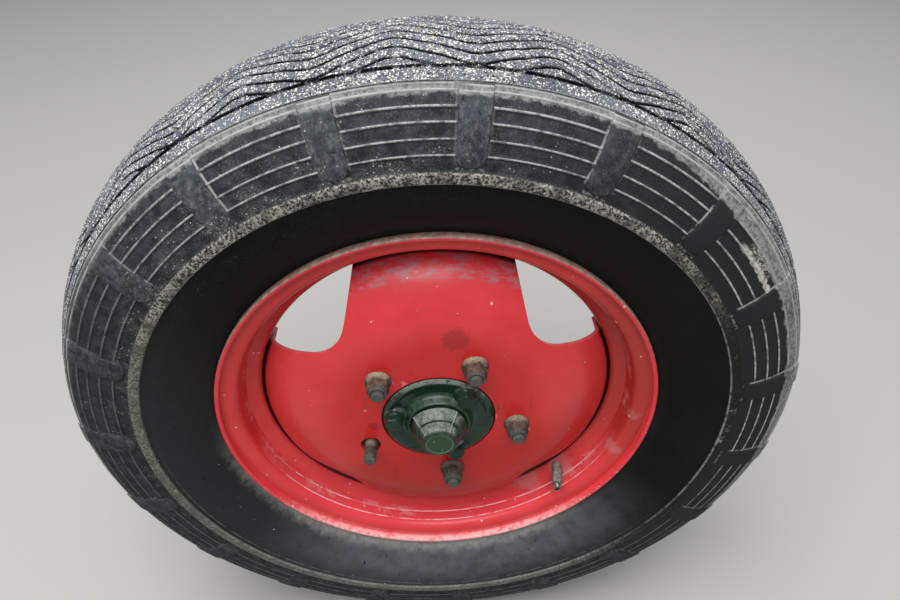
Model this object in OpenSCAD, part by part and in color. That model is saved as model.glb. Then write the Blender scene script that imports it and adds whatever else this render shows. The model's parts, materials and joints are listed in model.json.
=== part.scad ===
// Front wheel of an old farm tractor on its hub and stub axle.
// +Z is up, the wheel turns about an axis along Y and its outer face looks towards -Y.
// The origin is on the king pin's axis, on the thrust washer's top face.
// Profiles are lists of [radius, depth], with depth measured inboard from the rim's outer lip.

/* [Placing] */
// Depth of the king pin's axis behind the rim's outer lip
king_pin_depth = 190; // [175:1:260]
// Height of the thrust washer's top face above the wheel's axis
thrust_height = 46; // [42:1:80]

/* [Rim] */
// Radius of the bead seats
seat_r = 202.8; // [190:0.1:220]
// Width of the rim over both lips
rim_w = 130; // [118:1:150]
// Height of the flanges above the bead seats
flange_h = 17.2; // [14:0.1:20]
// Depth from a lip's edge to the tyre side of its flange
flange_depth = 12; // [9:0.5:15]
// Thickness of the rim's steel
rim_t = 4.5; // [3:0.1:5.5]
// Depth of the well below the bead seats
well_drop = 18.3; // [14:0.1:22]
// Depth at which the well begins, behind the outer lip
well_start = 44; // [42:1:50]
// Width of the well's floor
well_w = 26; // [22:1:30]
// Depth from a lip to the inner end of its bead seat
seat_end = 33; // [31:0.5:36]

/* [Disc] */
// Thickness of the pressed disc
disc_t = 5.5; // [4:0.1:8]
// Depth of the disc's flat outer face behind the lip
disc_face = 1; // [-4:0.5:6]
// Radius of the flat middle
disc_flat_r = 105; // [102:1:112]
// Radius of the centre hole
disc_hole_r = 57.5; // [57.2:0.1:60]
// Length of the turned edge that is welded under the well
disc_edge_w = 20; // [12:1:24]
// Number of windows
window_count = 4; // [3:1:6]
// Angle of the first window from the horizontal
window_turn = 45.5; // [0:0.5:90]
// Radius at which the windows begin
window_start_r = 136.5; // [130:0.5:150]
// Radius of the windows' inner corner
window_round_r = 45; // [30:1:55]
// Angle of each window's sides from its middle line
window_side_angle = 58; // [50:1:65]

/* [Tyre] */
// Overall radius of the tyre at its crown
tyre_r = 369; // [360:1:380]
// How far the edge between tread and shoulder lies below the crown
shoulder_drop = 16.5; // [12:0.5:30]
// How far the sidewalls stand out beyond the rim's lips
sidewall_out = 20.8; // [16:0.2:26]
// How far the shoulder edges stand out beyond the rim's lips
shoulder_out = 1; // [0:0.5:12]
// Height of the scuff ring on the sidewall
scuff_h = 2.7; // [1:0.1:5]
// Thickness of the casing at the sidewall
casing_t = 9; // [7:0.5:12]
// Thickness of rubber and casing under the tread
crown_t = 16; // [12:0.5:24]

/* [Tread] */
// Number of bars on each shoulder
bar_count = 19; // [12:1:24]
// Angle of the first bar from the horizontal
bar_turn = 47.2; // [0:0.1:60]
// Width of the shoulder bars
bar_w = 23; // [14:0.5:30]
// Height of the shoulder bars
bar_h = 1.9; // [1:0.1:3]
// Width of the groove beside each edge of the tread
groove_w = 3.5; // [2:0.1:5]
// Depth of that groove
groove_d = 2.8; // [1.5:0.1:5]
// Distance of that groove from the tread's middle
groove_place = 52.8; // [46:0.1:56]

/* [Hub] */
// Radius of the hub's flange
hub_flange_r = 97; // [95:1:102]
// Thickness of the hub's flange
hub_flange_t = 14; // [10:0.5:20]
// Radius of the barrel beside the flange
barrel_front_r = 52; // [50:1:56]
// Radius of the barrel at its inner end
barrel_rear_r = 44; // [40:1:50]
// Depth of the hub's inner end behind the rim's outer lip
hub_end = 100; // [92:1:106]
// Radius of the inner spindle journal
journal_rear_r = 20; // [18:0.5:24]
// Radius of the outer spindle journal
journal_front_r = 14; // [11:0.5:16]
// Running clearance between hub and spindle
running_gap = 0.05; // [0.02:0.01:0.1]

/* [Hub cap] */
// Radius of the hub cap's flange
cap_r = 56.5; // [54:0.1:57]
// Radius of the circle through the cap bolts
cap_bolt_circle_r = 45; // [43:0.5:46]
// Number of cap bolts
cap_bolt_count = 3; // [3:1:6]
// Angle of the first cap bolt from the horizontal
cap_bolt_turn = 52.5; // [0:0.5:120]
// Radius of the cap bolts' shanks
cap_bolt_r = 5; // [4:0.5:6]
// How far the nose stands out beyond the rim's lip
nose_out = 33.5; // [28:0.5:40]

/* [Wheel studs] */
// Number of wheel studs
stud_count = 5; // [4:1:6]
// Angle of the first stud from the horizontal
stud_turn = -8; // [-36:0.5:36]
// Radius of the circle through the studs
stud_circle_r = 80; // [76:0.5:82]
// Radius of the studs
stud_r = 6.5; // [5:0.5:8]
// Which stud has lost its nut, counted from 0
bare_stud = 3; // [0:1:3]
// How far a stud stands out of the disc's face
stud_out = 25; // [24:0.5:30]

/* [Stub axle] */
// Radius of the king pin
king_pin_r = 15.875; // [14:0.005:20]
// Length of the king pin's journal above the thrust washer
king_pin_journal = 180; // [120:1:240]
// Radius of the boss that holds the king pin
boss_r = 30; // [26:1:36]
// Height of the boss
boss_h = 76; // [66:1:80]
// Thickness of the thrust washer
washer_t = 8; // [4:0.5:12]

/* [Hidden] */

$fn = 96;
cut = 1;              // how far a cutter runs past the face it cuts
push_gap = 0.02;      // radial gap of a driven fit
bead_gap = 0.1;       // gap between bead and rim

lip_r = seat_r + flange_h;
well_r = seat_r - well_drop;
well_end = well_start + well_w;
well_inner_r = well_r - rim_t;
tyre_middle = rim_w / 2;
disc_back = disc_face + disc_t;

// Paint and metal colours
red = [0.76, 0.15, 0.16];
green = [0.10, 0.27, 0.20];
rubber = [0.10, 0.10, 0.11];
rust = [0.33, 0.27, 0.22];
steel = [0.50, 0.50, 0.50];

// Points of an arc in a profile, from one angle to another
function arc(centre, r, from, to, steps) =
    [for (i = [0:steps]) let (a = from + (to - from) * i / steps) centre + r * [cos(a), sin(a)]];
// The same profile seen from the other side of the rim's middle plane, in reverse order
function mirrored(path) = [for (i = [len(path) - 1:-1:0]) [path[i][0], rim_w - path[i][1]]];
function left_normal(p, q) = [p[1] - q[1], q[0] - p[0]] / norm(q - p);
// The mitred shift of one point of a path by the wall's thickness
function shifted(path, i, t) =
    let (n1 = left_normal(path[max(i - 1, 0)], path[max(i, 1)]),
         n2 = left_normal(path[min(i, len(path) - 2)], path[min(i + 1, len(path) - 1)]),
         n = (n1 + n2) / norm(n1 + n2))
    path[i] + n * t / (n * n1);
// A closed outline of even thickness along a path
function wall(path, t) = concat(path, [for (i = [len(path) - 1:-1:0]) shifted(path, i, t)]);

// Puts a shape that is drawn with radius and depth round the wheel's own axis
module at_wheel() { translate([0, -king_pin_depth, -thrust_height]) children(); }
// A solid of revolution about the wheel's axis from a profile of [radius, depth]
module turned(profile) { rotate([-90, 0, 0]) rotate_extrude() polygon(profile); }
// A cylinder or cone along the wheel's axis between two depths
module rod(from, to, r1, r2 = undef) {
    end_r = is_undef(r2) ? r1 : r2;
    translate([0, from, 0]) rotate([-90, 0, 0]) cylinder(h = to - from, r1 = r1, r2 = end_r);
}
// Puts its children at an angle and radius on the wheel
module on_circle(angle, r) { rotate([0, -angle, 0]) translate([r, 0, 0]) children(); }

// Rim: half of the drop-centre profile, on the tyre's side
curl_r = flange_h * 0.41;
heel_r = 6.5;
rim_front = concat(
    [[lip_r, 0]],
    arc([lip_r - curl_r, flange_depth - curl_r], curl_r, 0, 90, 4),
    arc([seat_r + heel_r, flange_depth + heel_r], heel_r, -90, -180, 3));
// Fall of each bead seat towards the well, and the rounding where seat and well meet the slope
seat_fall = 1.6;
seat_round = 1.8;
well_round = 3.5;
rim_path = concat(
    rim_front,
    [[seat_r - seat_fall, seat_end], [seat_r - seat_fall - seat_round, seat_end + 3]],
    [[well_r + well_round, well_start - 2.5], [well_r, well_start], [well_r, well_end]],
    [[well_r + well_round, well_end + 3], [seat_r - seat_fall - seat_round, rim_w - seat_end - 7]],
    [[seat_r - seat_fall, rim_w - seat_end - 2]],
    mirrored(rim_front));

valve_angle = -43;
valve_foot = [(well_inner_r + seat_r) / 2 - 4, (seat_end + well_start) / 2 - 2];
valve_lean = 12;
valve_length = 38;
valve_r = 5.5;
valve_end = 8;

module valve_place() {
    on_circle(valve_angle, valve_foot[0])
        translate([0, valve_foot[1], 0]) rotate([0, 0, -valve_lean]) children();
}

module rim() {
    color(red) at_wheel() difference() {
        turned(wall(rim_path, rim_t));
        valve_place() rod(-3 * rim_t, 3 * rim_t, valve_r + 0.1);
    }
}

// Disc: flat middle, rounded shoulder and the edge turned in under the well
disc_edge_r = well_inner_r - push_gap;
edge_start = well_start + 2;
crown_w = disc_edge_r - disc_flat_r - 2;
crown_drop = edge_start - 5 - disc_face;
crown_arc_r = (crown_w * crown_w + crown_drop * crown_drop) / 2 / crown_drop;
crown_arc_end = asin(crown_w / crown_arc_r);
disc_path = concat(
    [[disc_hole_r, disc_face]],
    arc([disc_flat_r, disc_face + crown_arc_r], crown_arc_r, -90, -90 + crown_arc_end, 8),
    [[disc_edge_r, edge_start], [disc_edge_r, edge_start + disc_edge_w]]);
stud_hole_r = stud_r + 4;

// One window: a wedge with a round inner corner, open towards the rim
module window() {
    reach = (disc_edge_r - window_start_r) / cos(window_side_angle);
    middle = window_start_r + window_round_r;
    foot = window_round_r * [-sin(window_side_angle), cos(window_side_angle)];
    end = foot + reach * [cos(window_side_angle), sin(window_side_angle)];
    translate([middle, 0]) {
        circle(r = window_round_r);
        polygon([[foot[0], -foot[1]], foot, end, [end[0], -end[1]]]);
    }
}

module disc() {
    color(red) at_wheel() difference() {
        turned(wall(disc_path, disc_t));
        for (i = [0:window_count - 1])
            rotate([90, 0, 0]) rotate([0, 0, window_turn + i * 360 / window_count])
                translate([0, 0, -rim_w]) linear_extrude(2 * rim_w) window();
        for (i = [0:stud_count - 1])
            on_circle(stud_turn + i * 360 / stud_count, stud_circle_r)
                rod(disc_face - cut, disc_back + cut, stud_hole_r);
    }
}

// Valve: rubber-covered foot, bare stem and open threaded end
module valve_stem() {
    color(steel) at_wheel() valve_place() {
        rod(-valve_length + valve_end, 12, valve_r);
        rod(-valve_length, -valve_length + valve_end, valve_r - 1.5);
    }
}

// Tyre: outer skin from the bead to the tread's edge, on the outer side
shoulder_r = tyre_r - shoulder_drop;
tread_half = tyre_middle + shoulder_out;
tread_arc_r = (tread_half * tread_half + shoulder_drop * shoulder_drop) / 2 / shoulder_drop;
tread_arc_end = asin(tread_half / tread_arc_r);
side_h = shoulder_r - lip_r;
bead_depth = 10;
// Sidewall above the bead: [share of the sidewall's height, share of the way out to its widest]
sidewall = [[0.058, 0.21], [0.117, 0.45], [0.196, 0.69], [0.284, 0.865], [0.376, 0.97], [0.46, 1]];
// Scuff ring: [share of the sidewall's height, share of the ring's own height]
scuff_top = 0.543;
scuff_ring = [[0.469, 1], [0.528, 1], [scuff_top, 0]];
// Shoulder up to the tread: [share of the sidewall's height, share of the way in from the widest]
shoulder = [[0.642, 0.975], [0.732, 0.884], [0.815, 0.722], [0.891, 0.52], [0.945, 0.29], [1, 0]];
// Inner face of the casing: [share of the sidewall's height, depth inside the widest place's inner face]
casing = [[0.3, 4], [0.5, 0], [0.76, 4]];

tyre_skin = concat(
    [[seat_r - 1.2, seat_end - 1]],
    arc([seat_r + heel_r, flange_depth + heel_r], heel_r - bead_gap, -180, -90, 3),
    arc([lip_r - curl_r, flange_depth - curl_r], curl_r + bead_gap, 90, 45, 2),
    [for (p = sidewall) [lip_r + p[0] * side_h, bead_depth - p[1] * (sidewall_out + bead_depth)]],
    [for (p = scuff_ring) [lip_r + p[0] * side_h, -sidewall_out - p[1] * scuff_h]],
    [for (p = shoulder) [lip_r + p[0] * side_h, -shoulder_out - p[1] * (sidewall_out - shoulder_out)]]);
tyre_liner = concat(
    [[seat_r + 1, seat_end + 1], [lip_r + 6, flange_depth + casing_t - 3]],
    [for (p = casing) [lip_r + p[0] * side_h, casing_t - sidewall_out + p[1]]],
    [[shoulder_r - casing_t, casing_t], [tyre_r - crown_t, tyre_middle]]);

// Tread: an arc with one straight groove beside each edge
tread_centre = [tyre_r - tread_arc_r, tyre_middle];
groove_angle = [for (side = [-1, 1]) asin((groove_place + side * groove_w / 2) / tread_arc_r)];
function on_tread(angle, sunk) = tread_centre + (tread_arc_r - sunk) * [cos(angle), sin(angle)];
tread_edge = concat(
    arc(tread_centre, tread_arc_r, -tread_arc_end, -groove_angle[1], 1),
    [on_tread(-groove_angle[1], groove_d), on_tread(-groove_angle[0], groove_d)]);
tread = concat(tread_edge, arc(tread_centre, tread_arc_r, -groove_angle[0], groove_angle[0], 6),
               mirrored(tread_edge));

// Shoulder bars: flat bars that follow the shoulder, rooted in it, with a round inner end
bar_root = 3;
// Where the bars begin and end, and the rows of the skin that they follow, as in the tables above
bar_span = [0.56, 0.985];
bar_rows = [[scuff_top, 1], shoulder[0], shoulder[2], shoulder[5]];
bar_skin = [for (p = bar_rows) [lip_r + p[0] * side_h, -shoulder_out - p[1] * (sidewall_out - shoulder_out)]];

module shoulder_bars() {
    last = len(bar_skin) - 1;
    round_r = bar_w / 2;
    start = lip_r + bar_span[0] * side_h + round_r;
    end = lip_r + bar_span[1] * side_h;
    section = concat([for (i = [0:last]) shifted(bar_skin, i, bar_root)],
                     [for (i = [last:-1:0]) shifted(bar_skin, i, -bar_h)]);
    for (i = [0:bar_count - 1])
        rotate([0, -bar_turn - i * 360 / bar_count, 0]) intersection() {
            linear_extrude(bar_w, center = true) polygon(section);
            rotate([90, 0, 0]) linear_extrude(2 * rim_w, center = true) {
                translate([start, -round_r]) square([end - start, bar_w]);
                translate([start, 0]) circle(r = round_r, $fn = 12);
            }
        }
}

module tyre() {
    inner = concat(tyre_liner, [for (i = [1:len(tyre_liner) - 1]) mirrored(tyre_liner)[i]]);
    outline = concat(tyre_skin, [for (i = [1:len(tread) - 2]) tread[i]], mirrored(tyre_skin),
                     [for (i = [len(inner) - 1:-1:0]) inner[i]]);
    color(rubber) at_wheel() {
        turned(outline);
        shoulder_bars();
        translate([0, rim_w, 0]) mirror([0, 1, 0]) rotate([0, -180 / bar_count, 0]) shoulder_bars();
    }
}

// Hub: flange behind the disc, tapered barrel and two running lands on the spindle
hub_face = disc_back;
spigot_depth = 4;
front_land_w = 20;
rear_land_w = 30;
seal_seat = 8;
seal_r = 33;
front_land = [hub_face + spigot_depth, hub_face + spigot_depth + front_land_w];
rear_land = [hub_end - seal_seat - rear_land_w, hub_end - seal_seat];
hub_hollow_r = 32;
spigot_r = 24;
cap_bolt_reach = 16;
bevel = 1;

module hub() {
    flange_back = hub_face + hub_flange_t;
    fillet = 10;
    color(green) at_wheel() difference() {
        turned([[0, hub_face], [hub_flange_r - bevel, hub_face], [hub_flange_r, hub_face + bevel],
                [hub_flange_r, flange_back - bevel], [hub_flange_r - bevel, flange_back],
                [barrel_front_r + fillet, flange_back],
                [barrel_front_r + fillet / 3, flange_back + fillet / 3],
                [barrel_front_r, flange_back + fillet], [barrel_rear_r, rear_land[0] + bevel],
                [barrel_rear_r, hub_end - bevel], [barrel_rear_r - bevel, hub_end], [0, hub_end]]);
        rod(hub_face - cut, front_land[0], spigot_r + push_gap);
        rod(hub_face, hub_end, journal_front_r + running_gap);
        rod(front_land[1], rear_land[0], hub_hollow_r);
        rod(rear_land[0] - cut, rear_land[1] + cut, journal_rear_r + running_gap);
        rod(rear_land[1], hub_end + cut, seal_r + push_gap);
        for (i = [0:stud_count - 1])
            on_circle(stud_turn + i * 360 / stud_count, stud_circle_r)
                rod(hub_face - cut, flange_back + cut, stud_r + push_gap);
        for (i = [0:cap_bolt_count - 1])
            on_circle(cap_bolt_turn + i * 360 / cap_bolt_count, cap_bolt_circle_r)
                rod(hub_face - cut, hub_face + cap_bolt_reach, cap_bolt_r + push_gap);
    }
}

// Grease seal pressed into the hub's inner end, running round the spindle
module grease_seal() {
    color(steel) at_wheel() difference() {
        rod(rear_land[1] + push_gap, hub_end + 1, seal_r);
        rod(rear_land[1] - cut, hub_end + 2, journal_rear_r + 0.4);
        rod(hub_end - 1, hub_end + 2, seal_r - 5, seal_r - 4);
    }
}

// Hub cap: dished flange with bolt bosses, round neck and a round nose in two tiers with two keystones
boss_out = 3;
cap_boss_r = 12.5;
nose_face = -nose_out;
neck_r = 31;
collar_y = -9.5;
cap_lip_w = 4.5;
cap_lip_out = 2;
cap_dish = 1.2;
keystone_turn = 99;

// Where nose and keystones stand on the neck, and how far the keystones end behind the nose's face
nose_root_r = 27;
keystone_root_r = 26;
keystone_end = 3.2;
// Rows of radius and distance behind the nose's face
nose_rows = [[28, 22], [27.4, 20.5], [22.4, 12.5], [19, 11.8], [18.8, 9.6], [20.2, 9], [19.8, 8],
    [17.8, 4], [17.8, 2.2], [14.5, 0]];
keystone_rows = [[26, 22.5], [31.5, 20], [31.2, 19], [24.4, 10.6], [21.4, 10.2], [21.2, 9.3],
    [22.8, 8.8], [17, keystone_end]];

function behind_face(rows) = [for (row = rows) [row[0], nose_face + row[1]]];

module cap_nose() {
    turned(concat([[0, collar_y + 1], [nose_root_r, collar_y + 1]], behind_face(nose_rows),
        [[0, nose_face]]));
    for (i = [0:1])
        intersection() {
            turned(concat([[0, collar_y + 1], [keystone_root_r, collar_y + 1]], behind_face(keystone_rows),
                [[0, nose_face + keystone_end]]));
            rotate([0, -keystone_turn - 180 * i, 0]) rotate([90, 0, 0]) linear_extrude(nose_out)
                polygon([[0, 0], [2 * neck_r, -2 * neck_r], [2 * neck_r, 2 * neck_r]]);
        }
}

module hub_cap() {
    color(green) at_wheel() difference() {
        union() {
            turned([[0, hub_face], [cap_r, hub_face], [cap_r, disc_face], [cap_r - cap_lip_w, -cap_lip_out],
                    [cap_r - cap_lip_w - 1.5, -cap_lip_out],
                    [cap_r - 10, cap_dish / 2], [neck_r + 7, cap_dish],
                    [neck_r + 4, 0], [neck_r + 2.6, -1.5], [neck_r + 0.6, collar_y + 1],
                    [neck_r - 0.4, collar_y], [0, collar_y]]);
            cap_nose();
            for (i = [0:cap_bolt_count - 1])
                on_circle(cap_bolt_turn + i * 360 / cap_bolt_count, cap_bolt_circle_r - 1)
                    rod(-boss_out, hub_face, cap_boss_r - 1.5);
            rod(hub_face - cut, hub_face + spigot_depth - 0.5, spigot_r);
        }
        rod(-nose_out / 2, hub_face + spigot_depth + cut, spigot_r - 6);
        for (i = [0:cap_bolt_count - 1])
            on_circle(cap_bolt_turn + i * 360 / cap_bolt_count, cap_bolt_circle_r)
                rod(-boss_out - 12, hub_face + cut, cap_bolt_r + 0.4);
    }
}

// Hexagon bolt through the cap into the hub
module cap_bolt(i) {
    head_r = cap_bolt_r * 1.9;
    color(green) at_wheel() on_circle(cap_bolt_turn + i * 360 / cap_bolt_count, cap_bolt_circle_r) {
        rod(-boss_out - 0.5, hub_face + cap_bolt_reach - 2, cap_bolt_r);
        intersection() {
            rotate([90, 0, 0]) translate([0, 0, boss_out]) cylinder(h = 8, r = head_r, $fn = 6);
            rod(-boss_out - 8, -boss_out, head_r - 2, head_r + 5);
        }
    }
}

// Wheel stud: head behind the flange, shank through flange and disc
module wheel_stud(i) {
    flange_back = hub_face + hub_flange_t;
    tip = disc_face - stud_out;
    point = 1.5;
    color(rust) at_wheel() on_circle(stud_turn + i * 360 / stud_count, stud_circle_r) {
        rod(tip + point, flange_back, stud_r);
        rod(tip, tip + point, stud_r - point, stud_r);
        rod(flange_back, flange_back + 5, stud_r + 3.5, stud_r + 2.5);
    }
}

// Wheel nut: cone into the disc's hole, flange on its face, hexagon and rounded collar
nut_hex_r = 11.6;
nut_hex_h = 18;
nut_flange_r = 13.2;
nut_flange_t = 4;
nut_cone_h = 3.5;
nut_collar_r = 9;

module wheel_nut(n) {
    i = n < bare_stud ? n : n + 1;
    hex_end = disc_face - nut_hex_h;
    color(rust) at_wheel() on_circle(stud_turn + i * 360 / stud_count, stud_circle_r) difference() {
        union() {
            rod(disc_face, disc_face + nut_cone_h, stud_hole_r - 0.1, stud_hole_r - 2);
            rod(disc_face - nut_flange_t, disc_face, nut_hex_r, nut_flange_r);
            intersection() {
                rotate([90, 30, 0]) translate([0, 0, -disc_face])
                    cylinder(h = nut_hex_h, r = nut_hex_r, $fn = 6);
                rod(hex_end, disc_face, nut_hex_r - 2, nut_hex_r + 2.4);
            }
            rod(hex_end - 3.5, hex_end + cut, nut_collar_r - 0.8, nut_collar_r);
        }
        rod(hex_end - 2 * nut_collar_r, disc_back + cut, stud_r + push_gap);
    }
}

// Stub axle: spindle, round shoulder and neck, and the boss for the king pin
shoulder_gap = 5;
axle_shoulder_r = 36;
axle_shoulder_w = 12;
axle_neck_r = 26;
shoulder_start = hub_end + shoulder_gap;
neck_end = king_pin_depth - boss_r / 2;
spindle_end = hub_face - 3;
boss_middle = -washer_t - boss_h / 2;

module stub_axle() {
    color(green) difference() {
        union() {
            at_wheel() {
                rod(spindle_end, rear_land[0] + 2, journal_front_r);
                rod(rear_land[0], shoulder_start + cut, journal_rear_r);
                turned([[0, shoulder_start], [axle_shoulder_r - 2, shoulder_start],
                        [axle_shoulder_r, shoulder_start + 2],
                        [axle_shoulder_r, shoulder_start + axle_shoulder_w - 3],
                        [axle_shoulder_r - 3, shoulder_start + axle_shoulder_w],
                        [axle_neck_r + 1, shoulder_start + 2 * axle_shoulder_w - 2],
                        [axle_neck_r, neck_end], [0, neck_end]]);
            }
            translate([0, 0, boss_middle]) rotate_extrude() polygon([
                [0, -boss_h / 2], [boss_r - 2, -boss_h / 2], [boss_r, -boss_h / 2 + 2],
                [boss_r, boss_h / 2 - 2], [boss_r - 2, boss_h / 2], [0, boss_h / 2]]);
        }
        translate([0, 0, boss_middle - boss_h]) cylinder(h = 2 * boss_h, r = pin_foot_r + push_gap);
        lock_pin_place() cylinder(h = 4 * boss_r, r = lock_pin_r + push_gap, center = true);
    }
}

// King pin: thicker foot in boss and washer, journal for the axle's end, keyed seat for a
// steering arm and threaded end
pin_foot_step = 1.6;
arm_seat_step = 3.2;
thread_step = 2;
arm_seat_h = 32;
thread_h = 20;
foot_drop = 3;
key_w = 5;
pin_foot_r = king_pin_r + pin_foot_step;
arm_seat_r = king_pin_r - arm_seat_step;
thread_r = arm_seat_r - thread_step;

module king_pin() {
    bottom = boss_middle - boss_h / 2 - foot_drop;
    seat_top = king_pin_journal + arm_seat_h;
    top = seat_top + thread_h;
    color(steel) difference() {
        rotate_extrude() polygon([
            [0, bottom], [pin_foot_r - 2, bottom], [pin_foot_r, bottom + 2], [pin_foot_r, 0], [king_pin_r, 0],
            [king_pin_r, king_pin_journal - 1], [king_pin_r - 1, king_pin_journal],
            [arm_seat_r, king_pin_journal], [arm_seat_r, seat_top], [thread_r, seat_top + 0.5],
            [thread_r, top - 1.5], [thread_r - 1.5, top], [0, top]]);
        translate([-key_w / 2, -arm_seat_r - cut, king_pin_journal + key_w])
            cube([key_w, key_w / 2 + cut, arm_seat_h - 2 * key_w]);
        lock_pin_place() cylinder(h = 4 * boss_r, r = lock_pin_r + push_gap, center = true);
    }
}

// Pin driven through boss and king pin
lock_pin_r = 5;

module lock_pin_place() {
    translate([0, 0, boss_middle]) rotate([0, 90, 0]) children();
}

module lock_pin() {
    color(steel) lock_pin_place() cylinder(h = 2 * boss_r + 5, r = lock_pin_r, center = true);
}

// Washer between the boss and the axle's end
module thrust_washer() {
    color(steel) translate([0, 0, -washer_t]) difference() {
        rotate_extrude() polygon([[0, 0], [boss_r - 3, 0], [boss_r - 2, 1], [boss_r - 2, washer_t - 1],
                                  [boss_r - 3, washer_t], [0, washer_t]]);
        translate([0, 0, -cut]) cylinder(h = washer_t + 2 * cut, r = pin_foot_r + push_gap);
    }
}

tyre();
rim();
disc();
valve_stem();
hub();
grease_seal();
hub_cap();
cap_bolt(0);  // cap_bolt_1
cap_bolt(1);  // cap_bolt_2
cap_bolt(2);  // cap_bolt_3
wheel_stud(0);  // wheel_stud_1
wheel_stud(1);  // wheel_stud_2
wheel_stud(2);  // wheel_stud_3
wheel_stud(3);  // wheel_stud_4
wheel_stud(4);  // wheel_stud_5
wheel_nut(0);  // wheel_nut_1
wheel_nut(1);  // wheel_nut_2
wheel_nut(2);  // wheel_nut_3
wheel_nut(3);  // wheel_nut_4
stub_axle();
king_pin();
lock_pin();
thrust_washer();
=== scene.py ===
# %% [markdown]
# Front wheel of an old farm tractor
#
# The object is one steerable front wheel: a worn tyre on a red pressed-steel rim and disc, a green hub
# with its cap, five studs of which one has lost its nut, and the stub axle with its king pin behind.
# The solids come from the packed part. This lesson dresses them, piece by piece.

# %% Load the solids
import json
import math
import random

import bpy
from mathutils import Matrix, Vector

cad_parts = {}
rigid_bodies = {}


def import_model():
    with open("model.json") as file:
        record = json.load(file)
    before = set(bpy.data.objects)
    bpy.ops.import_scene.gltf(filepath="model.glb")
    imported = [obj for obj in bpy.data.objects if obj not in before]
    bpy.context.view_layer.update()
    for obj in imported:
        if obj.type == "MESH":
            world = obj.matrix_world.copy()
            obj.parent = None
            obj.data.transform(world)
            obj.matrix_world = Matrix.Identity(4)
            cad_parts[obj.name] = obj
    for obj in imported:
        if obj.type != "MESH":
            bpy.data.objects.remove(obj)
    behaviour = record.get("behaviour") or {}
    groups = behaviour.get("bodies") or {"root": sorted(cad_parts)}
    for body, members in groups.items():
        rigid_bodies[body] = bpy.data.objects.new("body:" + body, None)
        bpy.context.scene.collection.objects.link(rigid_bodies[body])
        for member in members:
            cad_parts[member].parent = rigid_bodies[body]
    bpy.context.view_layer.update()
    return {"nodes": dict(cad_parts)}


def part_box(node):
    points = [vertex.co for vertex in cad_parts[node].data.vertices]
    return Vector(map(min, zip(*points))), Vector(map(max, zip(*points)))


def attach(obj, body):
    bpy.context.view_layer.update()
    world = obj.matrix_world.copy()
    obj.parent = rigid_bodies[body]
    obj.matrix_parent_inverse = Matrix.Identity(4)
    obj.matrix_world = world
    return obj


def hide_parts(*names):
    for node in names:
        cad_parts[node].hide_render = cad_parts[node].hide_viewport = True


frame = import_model()
MM = 0.001
rim_low, rim_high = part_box("rim")
LIP_Y = rim_low[1]
AXIS_Z = (rim_low[2] + rim_high[2]) / 2
print("solids:", len(frame["nodes"]), "lip plane at", round(LIP_Y, 4), "axis at height", round(AXIS_Z, 4))

# %% [markdown]
# Camera
#
# The photograph was taken from above and in front of the wheel with a wide phone lens. The place and
# tilt were solved from the circles of rim and hub.

# %% Place the camera
CAMERA_TILT = 50.94
camera_data = bpy.data.cameras.new("camera")
camera_data.sensor_width = 36
camera_data.lens = 28.6
camera = bpy.data.objects.new("camera", camera_data)
bpy.context.scene.collection.objects.link(camera)
camera.location = (-0.00804, -0.67358, 0.50066)
camera.rotation_euler = (math.radians(CAMERA_TILT), 0, math.radians(-2.295))
bpy.context.scene.camera = camera
bpy.context.scene.view_settings.view_transform = "Standard"
print("camera looks", round(90 - CAMERA_TILT, 1), "degrees below the horizon")

# %% [markdown]
# Floor and light
#
# The wheel stands out of doors under an even grey sky. A very large soft lamp above, a weak one behind
# and a pale world give that light, and a plain pale floor takes the shadow. Small lamps would make hard
# highlights that the photograph doesn't have.

# %% Make floor, world and lamps
floor_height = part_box("tyre")[0][2]


def plain_material(name, colour, roughness):
    """A one-colour material, for the floor only."""
    material = bpy.data.materials.new(name)
    material.use_nodes = True
    shader = material.node_tree.nodes["Principled BSDF"]
    shader.inputs["Base Color"].default_value = (*colour, 1)
    shader.inputs["Roughness"].default_value = roughness
    return material


bpy.ops.mesh.primitive_plane_add(size=40, location=(0, 0, floor_height))
floor = bpy.context.active_object
floor.name = "floor"
floor.data.materials.append(plain_material("pale_floor", (0.40, 0.385, 0.36), 0.9))

world = bpy.data.worlds.new("grey_sky")
bpy.context.scene.world = world
world.use_nodes = True
world.node_tree.nodes["Background"].inputs["Color"].default_value = (0.86, 0.93, 1.0, 1)
world.node_tree.nodes["Background"].inputs["Strength"].default_value = 0.30


def soft_lamp(name, place, target, size, power, colour=(1, 1, 1)):
    """A large square lamp that looks at a target."""
    data = bpy.data.lights.new(name, "AREA")
    data.size = size
    data.energy = power
    data.color = colour
    lamp = bpy.data.objects.new(name, data)
    bpy.context.scene.collection.objects.link(lamp)
    lamp.location = place
    lamp.rotation_euler = (Vector(target) - Vector(place)).to_track_quat("-Z", "Y").to_euler()
    return lamp


hub_place = (0, LIP_Y, AXIS_Z)
soft_lamp("sky_above", (-0.5, -1.2, 3.2), hub_place, 3.2, 215, (0.97, 0.98, 1.0))
soft_lamp("sky_behind", (0.8, 2.2, 2.4), hub_place, 2.5, 35)
print("floor at", round(floor_height, 4))

# %% [markdown]
# Working on one piece
#
# Each step below works on one chosen piece. These helpers do what one would do by hand in Blender: pick
# a piece, apply a modifier, weld its points, shade it smooth, and read how many triangles it has.

# %% Pick, weld and finish a piece
def deselect():
    """Leaves edit mode and selects nothing."""
    if bpy.context.mode != "OBJECT":
        bpy.ops.object.mode_set(mode="OBJECT")
    bpy.ops.object.select_all(action="DESELECT")


def take(piece):
    """Makes one piece the active and only selected object."""
    deselect()
    piece.select_set(True)
    bpy.context.view_layer.objects.active = piece


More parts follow.
